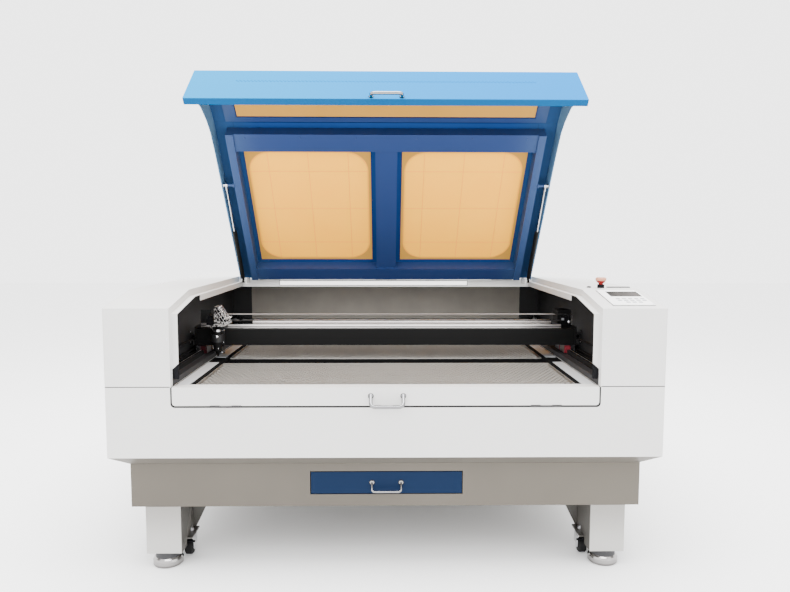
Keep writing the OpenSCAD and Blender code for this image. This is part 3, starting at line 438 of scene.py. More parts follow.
def rail_y_finish(name):
    """Blackened rails with one bright line along their tops, painted as the highlight on the top
    edge.
    """
    metal = Finish(name, (0.05, 0.05, 0.05), 0.5)
    middle = box("y_rails")[1].x - 10 * MM
    # painted highlight: a bright metallic line along each rail's top
    line = abs(abs(metal.axis("X")) - middle) < 2.2 * MM
    metal.feed("Base Color", metal.mix(line, (0.010, 0.010, 0.010, 1), (0.62, 0.60, 0.59, 1)))
    metal.feed("Metallic", 1.0 * line)
    metal.feed("Roughness", 0.75 - 0.4 * line)
    metal.shader.inputs["Specular IOR Level"].default_value = 0.05
    return metal.material


def lid_inner_finish(name):
    """Deep blue inside the lid, paler towards and on its two cheeks, which are light blue outside;
    the paleness is partly the cheeks' light blue paint and partly painted sheen.
    """
    paint = Finish(name, (0.016, 0.036, 0.12), 0.4, Specular_IOR_Level=0.2)
    across = abs(paint.axis("X"))
    deep = paint.mix(paint.noise(2.4, 3.0), (0.014, 0.032, 0.105, 1), (0.018, 0.040, 0.135, 1))
    # painted sheen: the inner blue pales towards both sides
    side = paint.step(across, 480 * MM, 700 * MM) * 0.15
    # the inner cheeks are paler still: partly their light blue paint, partly painted sheen
    cheek_sheen = side.most((across > LID_X - 19 * MM) * 0.95)
    inside = paint.mix(cheek_sheen, deep, (0.12, 0.23, 0.35, 1))
    outside = (across > LID_X - 16.5 * MM) * (across < LID_X - 10 * MM)
    paint.feed("Base Color", paint.mix(outside, inside, (0.0, 0.155, 0.38, 1)))
    paint.feed("Roughness", 0.36 + 0.1 * paint.noise(6.0, 2.0))
    paint.orange_peel()
    return paint.material


def body_finish(name):
    """White upright sides over a skirt painted in the plinth's grey as shade; a black band painted
    round the door as the shadow of its gap.
    """
    paint, fair = white_coat(name)
    # painted shade: the white skirt that slopes in under the body takes the plinth's grey
    shaded_skirt = paint.axis("Z") < SKIRT_TOP - 0.5 * MM
    # painted shadow: a black band on the body round the door's opening, for the shade in the gap
    near_door = outside_rim(paint, OPENING_X, OPENING_Z) < 2.2 * MM
    trim = near_door * (paint.axis("Y") < FRONT + 14 * MM)
    body = paint.mix(shaded_skirt, fair, (0.088, 0.079, 0.066, 1))
    paint.feed("Base Color", paint.mix(trim, body, GAP_SHADE_BLACK))
    paint.feed("Roughness", 0.38 + 0.1 * paint.noise(6.0, 2.0))
    paint.orange_peel()
    return paint.material


def leg_finish(name):
    """White outside, painted darker towards the top as shade; the gusset and inner faces are
    painted dark as shade.
    """
    paint = Finish(name, (0.74, 0.735, 0.72), 0.45)
    # painted shade: the gusset and the faces turned inwards are dark
    inner = abs(paint.axis("X")) < 701 * MM
    # painted shade: the white front darkens from near the floor up to the plinth
    rise = paint.step(paint.axis("Z"), 60 * MM, plinth_low.z)
    fair = paint.mix(rise, (0.40, 0.392, 0.375, 1), (0.22, 0.212, 0.198, 1))
    fair = paint.mix(0.3 * paint.noise(2.0, 3.0), fair, (0.20, 0.19, 0.17, 1))
    inner_shade = paint.mix(paint.noise(6.0, 3.0), (0.033, 0.030, 0.026, 1), (0.052, 0.048, 0.041, 1))
    paint.feed("Base Color", paint.mix(inner, fair, inner_shade))
    paint.orange_peel()
    return paint.material


def split_by_height(name, level, above, below):
    """A pitted casting above a level and a plain part below it.

    Each is given as (colour, roughness, metallic).
    """
    metal = Finish(name, above[0], above[1], above[2])
    low = metal.axis("Z") < level
    grain = metal.noise(1.0, 2.0, metal.stretched(4.0, 700.0, 700.0))
    bright = pitted(metal, shade(above[0], 0.12), shade(above[0], 1.6))[0]
    metal.feed("Base Color", metal.mix(low, bright, (*below[0], 1.0)))
    metal.feed("Metallic", above[2] + (below[2] - above[2]) * low)
    metal.feed("Roughness", above[1] + (below[1] - above[1]) * low + 0.06 * grain)
    return metal.material


def rail_finish(name):
    """A bright ground rail with its groove painted dark as shade; the belt and pulleys above it are
    black, with a painted glint along their tops.
    """
    rail_top, groove_height, belt_top = (BEAM_TOP + rise * MM for rise in (15.5, 6.5, 54.2))
    belt_end = 700 * MM
    metal = Finish(name, (0.8, 0.77, 0.75), 0.26, 1.0)
    height = metal.axis("Z")
    rail = height < rail_top
    # painted shade: the rail's groove is dark
    groove = (abs(height - groove_height) < 1.5 * MM) * rail
    # painted highlight: the tops of the belt and pulleys are a paler grey
    painted_glint = (height > belt_top) * (abs(metal.axis("X")) < belt_end)
    bright = metal.mix(groove, (0.82, 0.785, 0.76, 1), (0.02, 0.018, 0.018, 1))
    belt = metal.mix(painted_glint, (0.008, 0.008, 0.008, 1), (0.42, 0.40, 0.39, 1))
    metal.feed("Base Color", metal.mix(rail, belt, bright))
    metal.feed("Metallic", rail * (1.0 - groove))
    metal.feed("Roughness", 0.62 - 0.34 * rail + 0.05 * metal.noise(40.0))
    return metal.material


def louvred_paint(name):
    """Cover paint with two banks of pressed air slots on the outer side panels, drawn dark as
    painted shade.
    """
    slot_pitch, slot_length = 15.5 * MM, 55 * MM
    paint, fair = white_coat(name)
    across, along, height = (paint.axis(letter) for letter in "XYZ")
    panel = abs(across) > HALF - 0.4 * MM
    bank = abs(abs(along - 30 * MM) - 300 * MM) < 110 * MM
    bank = bank * (abs(height - (SEAM + 110 * MM)) < 62 * MM)
    slot = (height % slot_pitch) < 5.5 * MM
    # painted shade: the slots are dark, for the shadow inside them
    shaded_slots = panel * bank * slot * ((along % slot_length) > 4 * MM)
    paint.feed("Base Color", paint.mix(shaded_slots, fair, (0.02, 0.02, 0.022, 1)))
    paint.feed("Roughness", 0.38 + 0.1 * paint.noise(6.0, 2.0) + 0.2 * shaded_slots)
    paint.bump(0.03 * paint.noise(650.0, 1.0) - shaded_slots, 1.2 * MM, 0.6)
    return paint.material


def acrylic_window(name):
    """Amber acrylic still under its masking film, with the film's folds and darker corners; it
    glows faintly as painted light standing for light shining through it.
    """
    film = Finish(name, (0.85, 0.45, 0.06), 0.5, Specular_IOR_Level=0.03)
    shut = lowered(film)
    across = abs(film.axis("X", shut))
    along = film.axis("Y", shut)
    half = Vector(((WIN_X1 - WIN_X0) / 2, (WIN_Y1 - WIN_Y0) / 2))
    middle = Vector(((WIN_X1 + WIN_X0) / 2, (WIN_Y1 + WIN_Y0) / 2))
    corner, fold_pitch_x, fold_pitch_y = 95 * MM, 166 * MM, 192 * MM
    over_x = (abs(across - middle.x) - (half.x - corner)).most(0.0)
    over_y = (abs(along - middle.y) - (half.y - corner)).most(0.0)
    reach = (over_x * over_x + over_y * over_y) ** 0.5
    edge = film.step(reach, corner - 9 * MM, corner + 4 * MM)
    fold_x = abs((across - WIN_X0) % fold_pitch_x - fold_pitch_x / 2) < 1.0 * MM
    fold_y = abs((along - WIN_Y0) % fold_pitch_y - fold_pitch_y / 2) < 1.0 * MM
    fold = fold_x.most(fold_y) * 0.75
    cloud = film.noise(5.0, 3.0)
    bright = film.mix(cloud, (0.95, 0.44, 0.030, 1), (0.90, 0.37, 0.018, 1))
    dusk = film.mix(cloud, (0.34, 0.17, 0.03, 1), (0.42, 0.21, 0.04, 1))
    body = film.mix(fold.most(edge), bright, dusk)
    film.feed("Base Color", body)
    # painted light: the film glows in its own colour, for light coming through it
    film.feed("Emission Color", body)
    film.shader.inputs["Emission Strength"].default_value = 0.7
    film.bump(film.noise(60.0, 4.0), 0.4 * MM, 0.3)
    return film.material


def glass_tube(name):
    """Thin clear glass, a little cloudy."""
    glass = Finish(name, (0.82, 0.87, 0.9), 0.06, Coat_Weight=0.5)
    glass.feed("Alpha", 0.35 + 0.1 * glass.noise(8.0))
    return glass.material


white_paint = powder_coat("white_powder_coat", WHITE)
door_paint = door_finish("door_powder_coat")
frame_black = moulded("frame_black", (0.007, 0.007, 0.007), 0.85, 0.0, 0.02)
y_rail_steel = rail_y_finish("y_rail_steel")
bay_paint = powder_coat("bay_black", (0.026, 0.025, 0.026), 0.5, 0.2, 0.16)
cover_paint = louvred_paint("cover_powder_coat")
grey_paint = powder_coat("grey_powder_coat", (0.086, 0.076, 0.062), 0.46, 0.28, 0.2)
leg_paint = leg_finish("leg_powder_coat")
body_paint = body_finish("body_powder_coat")
black_paint = powder_coat("black_powder_coat", (0.007, 0.007, 0.007), 0.55, 0.2, 0.07)
hopper_paint = powder_coat("hopper_grey", (0.2, 0.2, 0.2), 0.6)
lid_paint = lid_skin("lid_blue_coat")
lid_inner_paint = lid_inner_finish("lid_inner_blue")
drawer_paint = powder_coat("drawer_blue", (0.0045, 0.0125, 0.036), 0.45, 0.08, 0.05)
deck_paint = powder_coat("deck_white", (0.82, 0.815, 0.80), 0.42)
panel_plastic = moulded("control_panel_white", (0.88, 0.88, 0.87), 0.4)
key_plastic = moulded("key_grey", (0.34, 0.35, 0.37), 0.45)
black_plastic = moulded("black_plastic", (0.005, 0.005, 0.006), 0.55, 0.0, 0.06)
red_plastic = stop_finish("stop_button_red")
rubber = moulded("black_rubber", (0.007, 0.007, 0.007), 0.75, 0.0, 0.16)
chrome = plain_metal("polished_chrome", (0.68, 0.68, 0.70), 0.1)
pull_chrome = plain_metal("pull_chrome", (0.22, 0.22, 0.225), 0.16)
brass = plain_metal("brass", (0.72, 0.52, 0.2), 0.25)
zinc = plain_metal("zinc_plate", (0.68, 0.68, 0.7), 0.3)
steel = brushed_metal("ground_steel", (0.40, 0.40, 0.41), 0.34, (900.0, 4.0, 900.0))
aluminium = brushed_metal("machined_aluminium", (0.78, 0.78, 0.8), 0.34)
honeycomb_alloy = plain_metal("honeycomb_alloy", (0.57, 0.54, 0.50), 0.5)
screen_glass = lcd_glass("screen_glass")
window_film = acrylic_window("amber_acrylic")
tube_glass = glass_tube("tube_glass")
tube_core = moulded("discharge_pink", (0.62, 0.36, 0.52), 0.25, 0.4)
lamp_white = Finish("lamp_white", (0.9, 0.9, 0.88), 0.35, Emission_Strength=2.0,
                    Emission_Color=(1, 1, 0.97, 1)).material
back_sheet = two_tone_back("back_sheet")
strip_paint = powder_coat("bed_strip_grey", (0.46, 0.47, 0.48), 0.8, 0.08, 0.05)
beam_alloy = brushed_metal("beam_cover_alloy", (0.95, 0.90, 0.87), 0.3)
holder_metal = cast_metal("holder_casting")
rail_and_belt = rail_finish("rail_and_belt")
head_metal = split_by_height("head_metal", BEAM_TOP + 17.5 * MM,
                             ((0.55, 0.53, 0.52), 0.3, 1.0), ((0.008, 0.008, 0.009), 0.5, 0.0))
foot_metal = foot_finish("foot_metal")
block_steel = block_finish("bearing_block_steel")

NODE_FINISHES = {
    white_paint: ["rear_panel", "tube_cover"],
    door_paint: ["front_door"],
    frame_black: ["bed_frame"],
    y_rail_steel: ["y_rails"],
    body_paint: ["lower_body"],
    cover_paint: ["left_cover", "right_cover"],
    leg_paint: ["legs"],
    grey_paint: ["base_frame", "power_supply"],
    hopper_paint: ["debris_hopper"],
    deck_paint: ["rear_deck"],
    bay_paint: ["left_wall", "right_wall"],
    black_paint: ["y_motor", "gantry_beam", "x_motor", "lens_tube", "left_strut_tube",
                  "right_strut_tube", "controller"],
    lid_paint: ["lid_shell"],
    lid_inner_paint: ["lid_frame"],
    drawer_paint: ["drawer"],
    back_sheet: ["back_wall"],
    window_film: ["lid_windows"],
    steel: ["y_shaft", "hinge_pins"],
    rail_and_belt: ["x_rail"],
    head_metal: ["head_carriage"],
    strip_paint: ["bed_strips"],
    block_steel: ["rail_blocks"],
    aluminium: ["exhaust_ducts"],
    honeycomb_alloy: ["honeycomb"],
    rubber: ["y_belts", "wheel_front_right", "wheel_front_left", "wheel_rear_right",
             "wheel_rear_left"],
    pull_chrome: ["lid_handle", "door_handle", "drawer_handle"],
    chrome: ["left_strut_rod", "right_strut_rod"],
    zinc: ["fork_front_right", "fork_front_left", "rear_forks"],
    foot_metal: ["foot_front_right", "foot_front_left", "foot_rear_right", "foot_rear_left"],
    black_plastic: ["switch_collars", "brake_right", "brake_left", "key_switch"],
    red_plastic: ["estop_button"],
    panel_plastic: ["control_panel"],
    screen_glass: ["display"],
    tube_glass: ["laser_tube"],
}

for material, nodes in NODE_FINISHES.items():
    for node in nodes:
        for material_slot in frame["nodes"][node].material_slots:
            material_slot.material = material


# ------------------------------------------------------------------ making of pieces


def finish_mesh(mesh, materials, crease=35.0):
    for material in materials:
        mesh.materials.append(material)
    for polygon in mesh.polygons:
        polygon.use_smooth = True
    mesh.set_sharp_from_angle(angle=math.radians(crease))


def set_out(name, mesh, body, edge=0.0):
    """Puts a finished mesh on its body, with its edges eased if wanted."""
    made = bpy.data.objects.new(name, mesh)
    bpy.context.scene.collection.objects.link(made)
    if edge:
        ease = made.modifiers.new("eased_edges", "BEVEL")
        ease.width = edge
        ease.segments = 2
        ease.limit_method = "ANGLE"
        ease.angle_limit = math.radians(40)
        ease.harden_normals = True
    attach(made, body)
    return made


def rounded(points, radius, steps=6):
    """A polyline whose inner corners are turned into arcs."""
    path = [Vector(points[0])]
    for before, corner, after in zip(points, points[1:], points[2:]):
        before, corner, after = Vector(before), Vector(corner), Vector(after)
        back = (before - corner).normalized()
        ahead = (after - corner).normalized()
        reach = radius / math.tan(back.angle(ahead) / 2)
        centre = corner + (back + ahead).normalized() * radius / math.sin(back.angle(ahead) / 2)
        start = corner + back * reach - centre
        finish = corner + ahead * reach - centre
        sweep = start.angle(finish)
        for step in range(steps + 1):
            share = step / steps
            path.append(centre + (start * math.sin((1 - share) * sweep)
                                  + finish * math.sin(share * sweep)) / math.sin(sweep))
    path.append(Vector(points[-1]))
    return path


class Shop:
    """Collects plates, turned parts, bent bars and cut profiles into one closed mesh."""

    def __init__(self, place=None):
        self.mesh = bmesh.new()
        self.place = place or Matrix()

    def add(self, points, faces, place=None, finish=0):
        matrix = self.place @ (place or Matrix())
        corners = [self.mesh.verts.new(matrix @ Vector(point)) for point in points]
        for face in faces:
            self.mesh.faces.new([corners[corner] for corner in face]).material_index = finish
        return self

    def block(self, low, high, finish=0, place=None):
        points = [(x, y, z) for x in (low[0], high[0]) for y in (low[1], high[1])
                  for z in (low[2], high[2])]
        faces = [(0, 1, 3, 2), (4, 6, 7, 5), (0, 4, 5, 1), (2, 3, 7, 6), (0, 2, 6, 4),
                 (1, 5, 7, 3)]
        return self.add(points, faces, place, finish)

    def profile(self, outline, low, high, axis="Z", finish=0, place=None):
        """An outline run from low to high along an axis; the outline is in the other two axes."""
        order = {"X": lambda a, b, c: (c, a, b), "Y": lambda a, b, c: (a, c, b),
                 "Z": lambda a, b, c: (a, b, c)}[axis]
        count = len(outline)
        points = [order(a, b, low) for a, b in outline] + [order(a, b, high) for a, b in outline]
        faces = [(k, (k + 1) % count, (k + 1) % count + count, k + count) for k in range(count)]
        faces += [tuple(range(count)), tuple(range(count, 2 * count))]
        return self.add(points, faces, place, finish)

    def turned(self, contour, place=None, sides=32, finish=0):
        """A contour of (radius, height) turned about its own Z axis."""
        points, rings = [], []
        for radius, height in contour:
            if radius < 1e-7:
                rings.append([len(points)] * sides)
                points.append((0, 0, height))
            else:
                rings.append(list(range(len(points), len(points) + sides)))
                points += [(radius * math.cos(math.tau * k / sides),
                            radius * math.sin(math.tau * k / sides), height) for k in range(sides)]
        faces = []
        for lower, upper in zip(rings, rings[1:]):
            for k in range(sides):
                corners = [lower[k], lower[(k + 1) % sides], upper[(k + 1) % sides], upper[k]]
                faces.append(tuple(dict.fromkeys(corners)))
        return self.add(points, [face for face in faces if len(face) > 2], place, finish)

    def bar(self, path, radius, sides=14, finish=0, place=None):
        """A round bar bent along a path, with closed ends."""
        path = [Vector(point) for point in path]
        ahead = (path[1] - path[0]).normalized()
        side = ahead.orthogonal().normalized()
        points = []
        for number, point in enumerate(path):
            before = path[max(number - 1, 0)]
            after = path[min(number + 1, len(path) - 1)]
            new_ahead = (after - before).normalized()
            side = ahead.rotation_difference(new_ahead) @ side
            ahead = new_ahead
            other = ahead.cross(side)
            points += [point + radius * (side * math.cos(math.tau * k / sides)
                                         + other * math.sin(math.tau * k / sides))
                       for k in range(sides)]
        faces = [(r * sides + k, r * sides + (k + 1) % sides, (r + 1) * sides + (k + 1) % sides,
                  (r + 1) * sides + k) for r in range(len(path) - 1) for k in range(sides)]
        last = (len(path) - 1) * sides
        faces += [tuple(range(sides)), tuple(range(last, last + sides))]
        return self.add(points, faces, place, finish)

    def take(self, mesh):
        """Adds a ready mesh, all in the first finish."""
        self.mesh.from_mesh(mesh)
        for face in self.mesh.faces:
            face.material_index = 0
        bpy.data.meshes.remove(mesh)
        return self

    def closed(self, name):
        bmesh.ops.recalc_face_normals(self.mesh, faces=self.mesh.faces)
        mesh = bpy.data.meshes.new(name)
        self.mesh.to_mesh(mesh)
        self.mesh.free()
        return mesh

    def made(self, name, body, *materials, edge=0.0, crease=35.0):
        """The collected parts as one piece on a body."""
        mesh = self.closed(name)
        finish_mesh(mesh, materials, crease)
        return set_out(name, mesh, body, edge)

    def pattern(self, name):
        """A part kept aside for a tree to repeat."""
        return bpy.data.objects.new(name, self.closed(name))


def at(x, y, z, facing=(0, 0, 1), turn=0.0):
    """A place whose own Z axis points along facing."""
    tilt = Vector((0, 0, 1)).rotation_difference(Vector(facing)).to_matrix().to_4x4()
    return Matrix.Translation((x, y, z)) @ tilt @ Matrix.Rotation(turn, 4, "Z")


def soften(node, body, width, *materials):
    """A CAD sheet part with its long outer bends rounded as a press brake leaves them."""
    shortest, least_fold, least_flange = 15 * MM, 8.0, 8 * MM
    source = frame["nodes"][node]
    shape = bmesh.new()
    shape.from_mesh(source.data)
    bmesh.ops.remove_doubles(shape, verts=shape.verts, dist=0.002 * MM)
    bmesh.ops.dissolve_limit(shape, angle_limit=math.radians(0.6), verts=shape.verts,
                             edges=shape.edges)
    weight = shape.edges.layers.float.new("bevel_weight_edge")
    for edge in shape.edges:
        length = edge.calc_length()
        if len(edge.link_faces) != 2 or not edge.is_convex or length <= shortest:
            continue
        flange = min(face.calc_area() for face in edge.link_faces) / length
        if math.degrees(edge.calc_face_angle(0.0)) > least_fold and flange > least_flange:
            edge[weight] = 1.0
    mesh = bpy.data.meshes.new(node + "_dressed")
    shape.to_mesh(mesh)
    shape.free()
    finish_mesh(mesh, materials, 25.0)
    made = set_out(node + "_dressed", mesh, body)
    ease = made.modifiers.new("pressed_bends", "BEVEL")
    ease.width = width
    ease.segments = 3
    ease.limit_method = "WEIGHT"
    ease.harden_normals = True
    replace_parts(made, node)
    return made


# ------------------------------------------------------------------ trees that repeat parts


class Plan:
    """A geometry node tree with named inputs."""

    def __init__(self, name, **inputs):
        self.tree = bpy.data.node_groups.new(name, "GeometryNodeTree")
        for socket, kind in inputs.items():
            self.tree.interface.new_socket(socket, in_out="INPUT", socket_type="NodeSocket" + kind)
        self.tree.interface.new_socket("Geometry", in_out="OUTPUT",
                                       socket_type="NodeSocketGeometry")
        self.inputs = self.tree.nodes.new("NodeGroupInput")
        self.outputs = self.tree.nodes.new("NodeGroupOutput")

    def given(self, name):
        return self.inputs.outputs[name]

    def node(self, kind, settings=None, sockets=None, out=0):
        made = self.tree.nodes.new(kind)
        for key, value in (settings or {}).items():
            setattr(made, key, value)
        for key, value in (sockets or {}).items():
            if isinstance(value, bpy.types.NodeSocket):
                self.tree.links.new(value, made.inputs[key])
            else:
                made.inputs[key].default_value = value
        return made.outputs[out]

    def math(self, operation, first, second=0.0):
        return self.node("ShaderNodeMath", {"operation": operation}, {0: first, 1: second})

    def close(self, geometry):
        real = self.node("GeometryNodeRealizeInstances", None, {0: geometry})
        finished = self.node("GeometryNodeSetMaterial", None,
                             {0: real, "Material": self.given("Finish")})
        self.tree.links.new(finished, self.outputs.inputs[0])
        return self.tree


def comb_plan():
    """Half hexagons on a staggered field of points: together they are a honeycomb."""
    plan = Plan("honeycomb_core", Pitch="Float", Columns="Int", Rows="Int", Corner="Vector",
                Depth="Float", Wall="Float", Finish="Material")
    count = plan.math("MULTIPLY", plan.given("Columns"), plan.given("Rows"))
    index = plan.node("GeometryNodeInputIndex")
    column = plan.math("FLOORED_MODULO", index, plan.given("Columns"))
    row = plan.math("FLOOR", plan.math("DIVIDE", index, plan.given("Columns")))
    stagger = plan.math("MULTIPLY", plan.math("FLOORED_MODULO", row, 2.0), 0.5)
    x = plan.math("MULTIPLY", plan.math("ADD", column, stagger), plan.given("Pitch"))
    y = plan.math("MULTIPLY", plan.math("MULTIPLY", row, plan.given("Pitch")), math.sqrt(0.75))
    offset = plan.node("ShaderNodeCombineXYZ", None, {0: x, 1: y})
    spot = plan.node("ShaderNodeVectorMath", {"operation": "ADD"},
                     {0: offset, 1: plan.given("Corner")})
    points = plan.node("GeometryNodePoints", None, {"Count": count, "Position": spot})
    half = plan.node("GeometryNodeCurveArc", {"mode": "RADIUS"}, {
        "Resolution": 4, "Radius": plan.math("DIVIDE", plan.given("Pitch"), math.sqrt(3.0)),
        "Start Angle": -math.pi / 2, "Sweep Angle": math.pi})
    foil = plan.node("GeometryNodeCurvePrimitiveQuadrilateral", None,
                     {"Width": plan.given("Wall"), "Height": plan.given("Depth")})
    cell = plan.node("GeometryNodeCurveToMesh", None,
                     {"Curve": half, "Profile Curve": foil, "Fill Caps": True})
    return plan.close(plan.node("GeometryNodeInstanceOnPoints", None,
                                {"Points": points, "Instance": cell}))


def fixing_plan():
    """One part set at each point of a mesh, standing along the point's own direction."""
    plan = Plan("parts_at_points", Geometry="Geometry", Part="Object", Finish="Material")
    facing = plan.node("GeometryNodeInputNamedAttribute", {"data_type": "FLOAT_VECTOR"},
                       {"Name": "facing"})
    turn = plan.node("FunctionNodeAlignRotationToVector", {"axis": "Z"}, {"Vector": facing})
    part = plan.node("GeometryNodeObjectInfo", None, {"Object": plan.given("Part")}, "Geometry")
    return plan.close(plan.node("GeometryNodeInstanceOnPoints", None, {
        "Points": plan.given("Geometry"), "Instance": part, "Rotation": turn}))


comb_tree = comb_plan()
fixing_tree = fixing_plan()


def grow_mesh(tree, name, finish, points=None, place=None, **inputs):
    """Runs a tree once and gives its result as a plain mesh."""
    seed_mesh = bpy.data.meshes.new(name + "_seed")
    if points:
        seed_mesh.from_pydata([point for point, facing in points], [], [])
        facing = seed_mesh.attributes.new("facing", "FLOAT_VECTOR", "POINT")
        facing.data.foreach_set("vector", [value for point, way in points for value in way])
    seed = bpy.data.objects.new(name + "_seed", seed_mesh)
    bpy.context.scene.collection.objects.link(seed)
    run = seed.modifiers.new("grow", "NODES")
    run.node_group = tree
    names = {item.name: item.identifier for item in tree.interface.items_tree
             if item.in_out == "INPUT"}
    for key, value in {"Finish": finish, **inputs}.items():
        run[names[key]] = value
    graph = bpy.context.evaluated_depsgraph_get()
    mesh = bpy.data.meshes.new_from_object(seed.evaluated_get(graph), depsgraph=graph)
    bpy.data.objects.remove(seed)
    if place:
        mesh.transform(place)
    return mesh


def grown(tree, name, body, finish, points=None, place=None, crease=35.0, **inputs):
    """Runs a tree once and keeps its result as a piece on one body."""
    mesh = grow_mesh(tree, name, finish, points, place, **inputs)
    finish_mesh(mesh, (), crease)
    return set_out(name, mesh, body)


def cap_screw(name, radius):
    """A socket cap screw's head, standing on its own origin."""
    return Shop().turned([(0, -0.2 * MM), (radius, -0.2 * MM), (radius, 0.62 * radius),
                          (0.86 * radius, 0.8 * radius), (0.5 * radius, 0.8 * radius),
                          (0.45 * radius, 0.35 * radius), (0, 0.35 * radius)],
                         sides=12).pattern(name)


def pan_screw(name, radius):
    """A low cross-head screw's head."""
    return Shop().turned([(0, -0.2 * MM), (radius, -0.2 * MM), (radius, 0.12 * radius),
                          (0.7 * radius, 0.42 * radius), (0.3 * radius, 0.5 * radius),
                          (0, 0.5 * radius)], sides=12).pattern(name)


m4_cap = cap_screw("m4_cap", 3.5 * MM)
m4_pan = pan_screw("m4_pan", 4 * MM)

# ------------------------------------------------------------------ cabinet: seams, door and deck


def mirrored(low, high):
    """A block on the right side and its twin on the left."""
    return (low, high), ((-high[0], low[1], low[2]), (-low[0], high[1], high[2]))


def around(point, low, high):
    """A block's two corners, measured in millimetres from a point."""
    return [tuple(base + way * MM for base, way in zip(point, corner)) for corner in (low, high)]


def carried(points, place):
    """Fixing points and the ways they face, moved together to a place."""
    turn = place.to_3x3()
    return [(tuple(place @ Vector(point)), tuple(turn @ Vector(way))) for point, way in points]


def make_seam_shade_gaskets():
    """A black rubber gasket lies in the groove between the covers and the lower body; its black
    also stands for the shade in that groove.
    """
    low, high = SEAM + 0.15 * MM, SEAM + 2.85 * MM
    inset, thick = 0.1 * MM, 1.1 * MM
    front = ((OPEN_X + inset, FRONT + inset, low), (HALF - inset, FRONT + thick, high))
    side = ((HALF - thick, FRONT + 1.2 * MM, low), (HALF - inset, REAR - 1.2 * MM, high))
    rear = ((OPEN_X + inset, REAR - thick, low), (HALF - inset, REAR - inset, high))
    # the gasket's black is partly painted shade for the seam
    shop = Shop()
    for run in (front, side, rear):
        for corners in mirrored(*run):
            shop.block(*corners)
    shop.made("cover_gaskets", "cabinet", rubber)


def make_door_seal():
    """Rubber strips behind the front door close its gaps to the cabinet."""
    door_foot = box("front_door")[0].z
    behind, thick = FRONT + 3.0 * MM, 3 * MM
    shop = Shop()
    for corners in mirrored((PANEL_X + 0.4 * MM, behind, door_foot + 6 * MM),
                            (PANEL_X + 7 * MM, behind + thick, SEAM - 2.4 * MM)):
        shop.block(*corners)
    shop.block((-PANEL_X, behind, door_foot - 2 * MM),
               (PANEL_X, behind + thick, door_foot + 7 * MM))
    shop.made("door_seal", "cabinet", rubber)


def make_bumpers():
    """Black stops fill the corner below each cover's lower ledge."""
    inner, outer = LEDGE_X + 2 * MM, OPEN_X - 1 * MM
    shop = Shop()
    for side in (-1, 1):
        outline = [(side * inner, SEAM + 22 * MM), (side * outer, SEAM + 22 * MM),
                   (side * outer, SEAM + 56 * MM), (side * inner, SEAM + 72 * MM)]
        shop.profile(outline, FRONT + 26 * MM, FRONT + 38 * MM, "Y")
    shop.made("door_bumpers", "cabinet", black_plastic, edge=1.2 * MM)


def make_deck_light():
    """A white lamp strip in a slim dark frame on the deck's front band, held by four clips."""
    front = deck_low.y + 91 * MM
    left, right = -512 * MM, 392 * MM
    low, high = TOP - 44 * MM, TOP - 19 * MM
    lamp = Shop().block((left, front - 1.2 * MM, low), (right, front - 0.1 * MM, high))
    lamp.made("lamp_frame", "cabinet", black_plastic, edge=0.4 * MM)
    root, face = front - 1.3 * MM, front - 4.2 * MM
    lens = Shop().profile([(root, low + 2 * MM), (face, low + 5 * MM), (face, high - 5 * MM),
                           (root, high - 2 * MM)], left + 3 * MM, right - 3 * MM, "X")
    lens.made("lamp_lens", "cabinet", lamp_white, edge=0.6 * MM)
    clips = Shop()
    for x in (-508, -210, 90, 380):
        clips.block(((x - 5) * MM, front - 5 * MM, low + 1 * MM),
                    ((x + 5) * MM, front - 1 * MM, low + 3.5 * MM))
    clips.made("lamp_clips", "cabinet", zinc, edge=0.3 * MM)


# ------------------------------------------------------------------ pulls


def make_pull(name, node, body, place, span, reach, radius):
    """A bent chrome bar on two round bases with dark washers."""
    base = mm((0, 0.1), (8, 0.1), (8, 1.4), (6.6, 2.8), (0, 2.8))
    washer = mm((0, 0.05), (9.6, 0.05), (9.6, 0.9), (0, 0.9))
    root, half, bend = 1 * MM, span / 2, 2.6 * radius
    shop = Shop(place)
    shop.bar(rounded([(-half, root, root), (-half, -reach, -reach), (half, -reach, -reach),
                      (half, root, root)], bend), radius, 18)
    for x in (-half, half):
        forward = at(x, 0, 0, (0, -1, 0))
        shop.turned(base, forward, 28)
        shop.turned(washer, forward, 28, 1)
    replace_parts(shop.made(name, body, pull_chrome, rubber), node)


# ------------------------------------------------------------------ bed


def make_bed():
    """Two honeycomb beds of bent foil, each in a thin edge frame."""
    low, high = box("honeycomb")
    channel = (FRONT + 454 * MM, FRONT + 566 * MM)
    pitch, foil, gap = 18 * MM, 0.5 * MM, 0.5 * MM
    side_edge, end_edge = 2 * MM, 1.5 * MM
    shop, combs = Shop(), []
    for start, finish in ((low.y, channel[0] - gap), (channel[1] + gap, high.y)):
        columns = int((high.x - low.x) / pitch - 0.6)
        rows = int((finish - start) / (pitch * math.sqrt(0.75)) - 0.6)
        margin = ((high.x - low.x) - columns * pitch) / 2
        corner = (low.x + margin, start + 0.6 * pitch, (low.z + high.z) / 2)
        combs.append(grow_mesh(comb_tree, "bed_comb", honeycomb_alloy, Pitch=pitch,
                               Columns=columns, Rows=rows, Corner=corner,
                               Depth=high.z - low.z, Wall=foil))
        for corners in mirrored((high.x - side_edge, start, low.z), (high.x, finish, high.z)):
            shop.block(*corners)
        shop.block((low.x, start, low.z), (high.x, start + end_edge, high.z))
        shop.block((low.x, finish - end_edge, low.z), (high.x, finish, high.z))
    for comb in combs:
        shop.take(comb)
    bed = shop.made("honeycomb_beds", "cabinet", honeycomb_alloy)
    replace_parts(bed, "honeycomb")


# ------------------------------------------------------------------ gantry and head


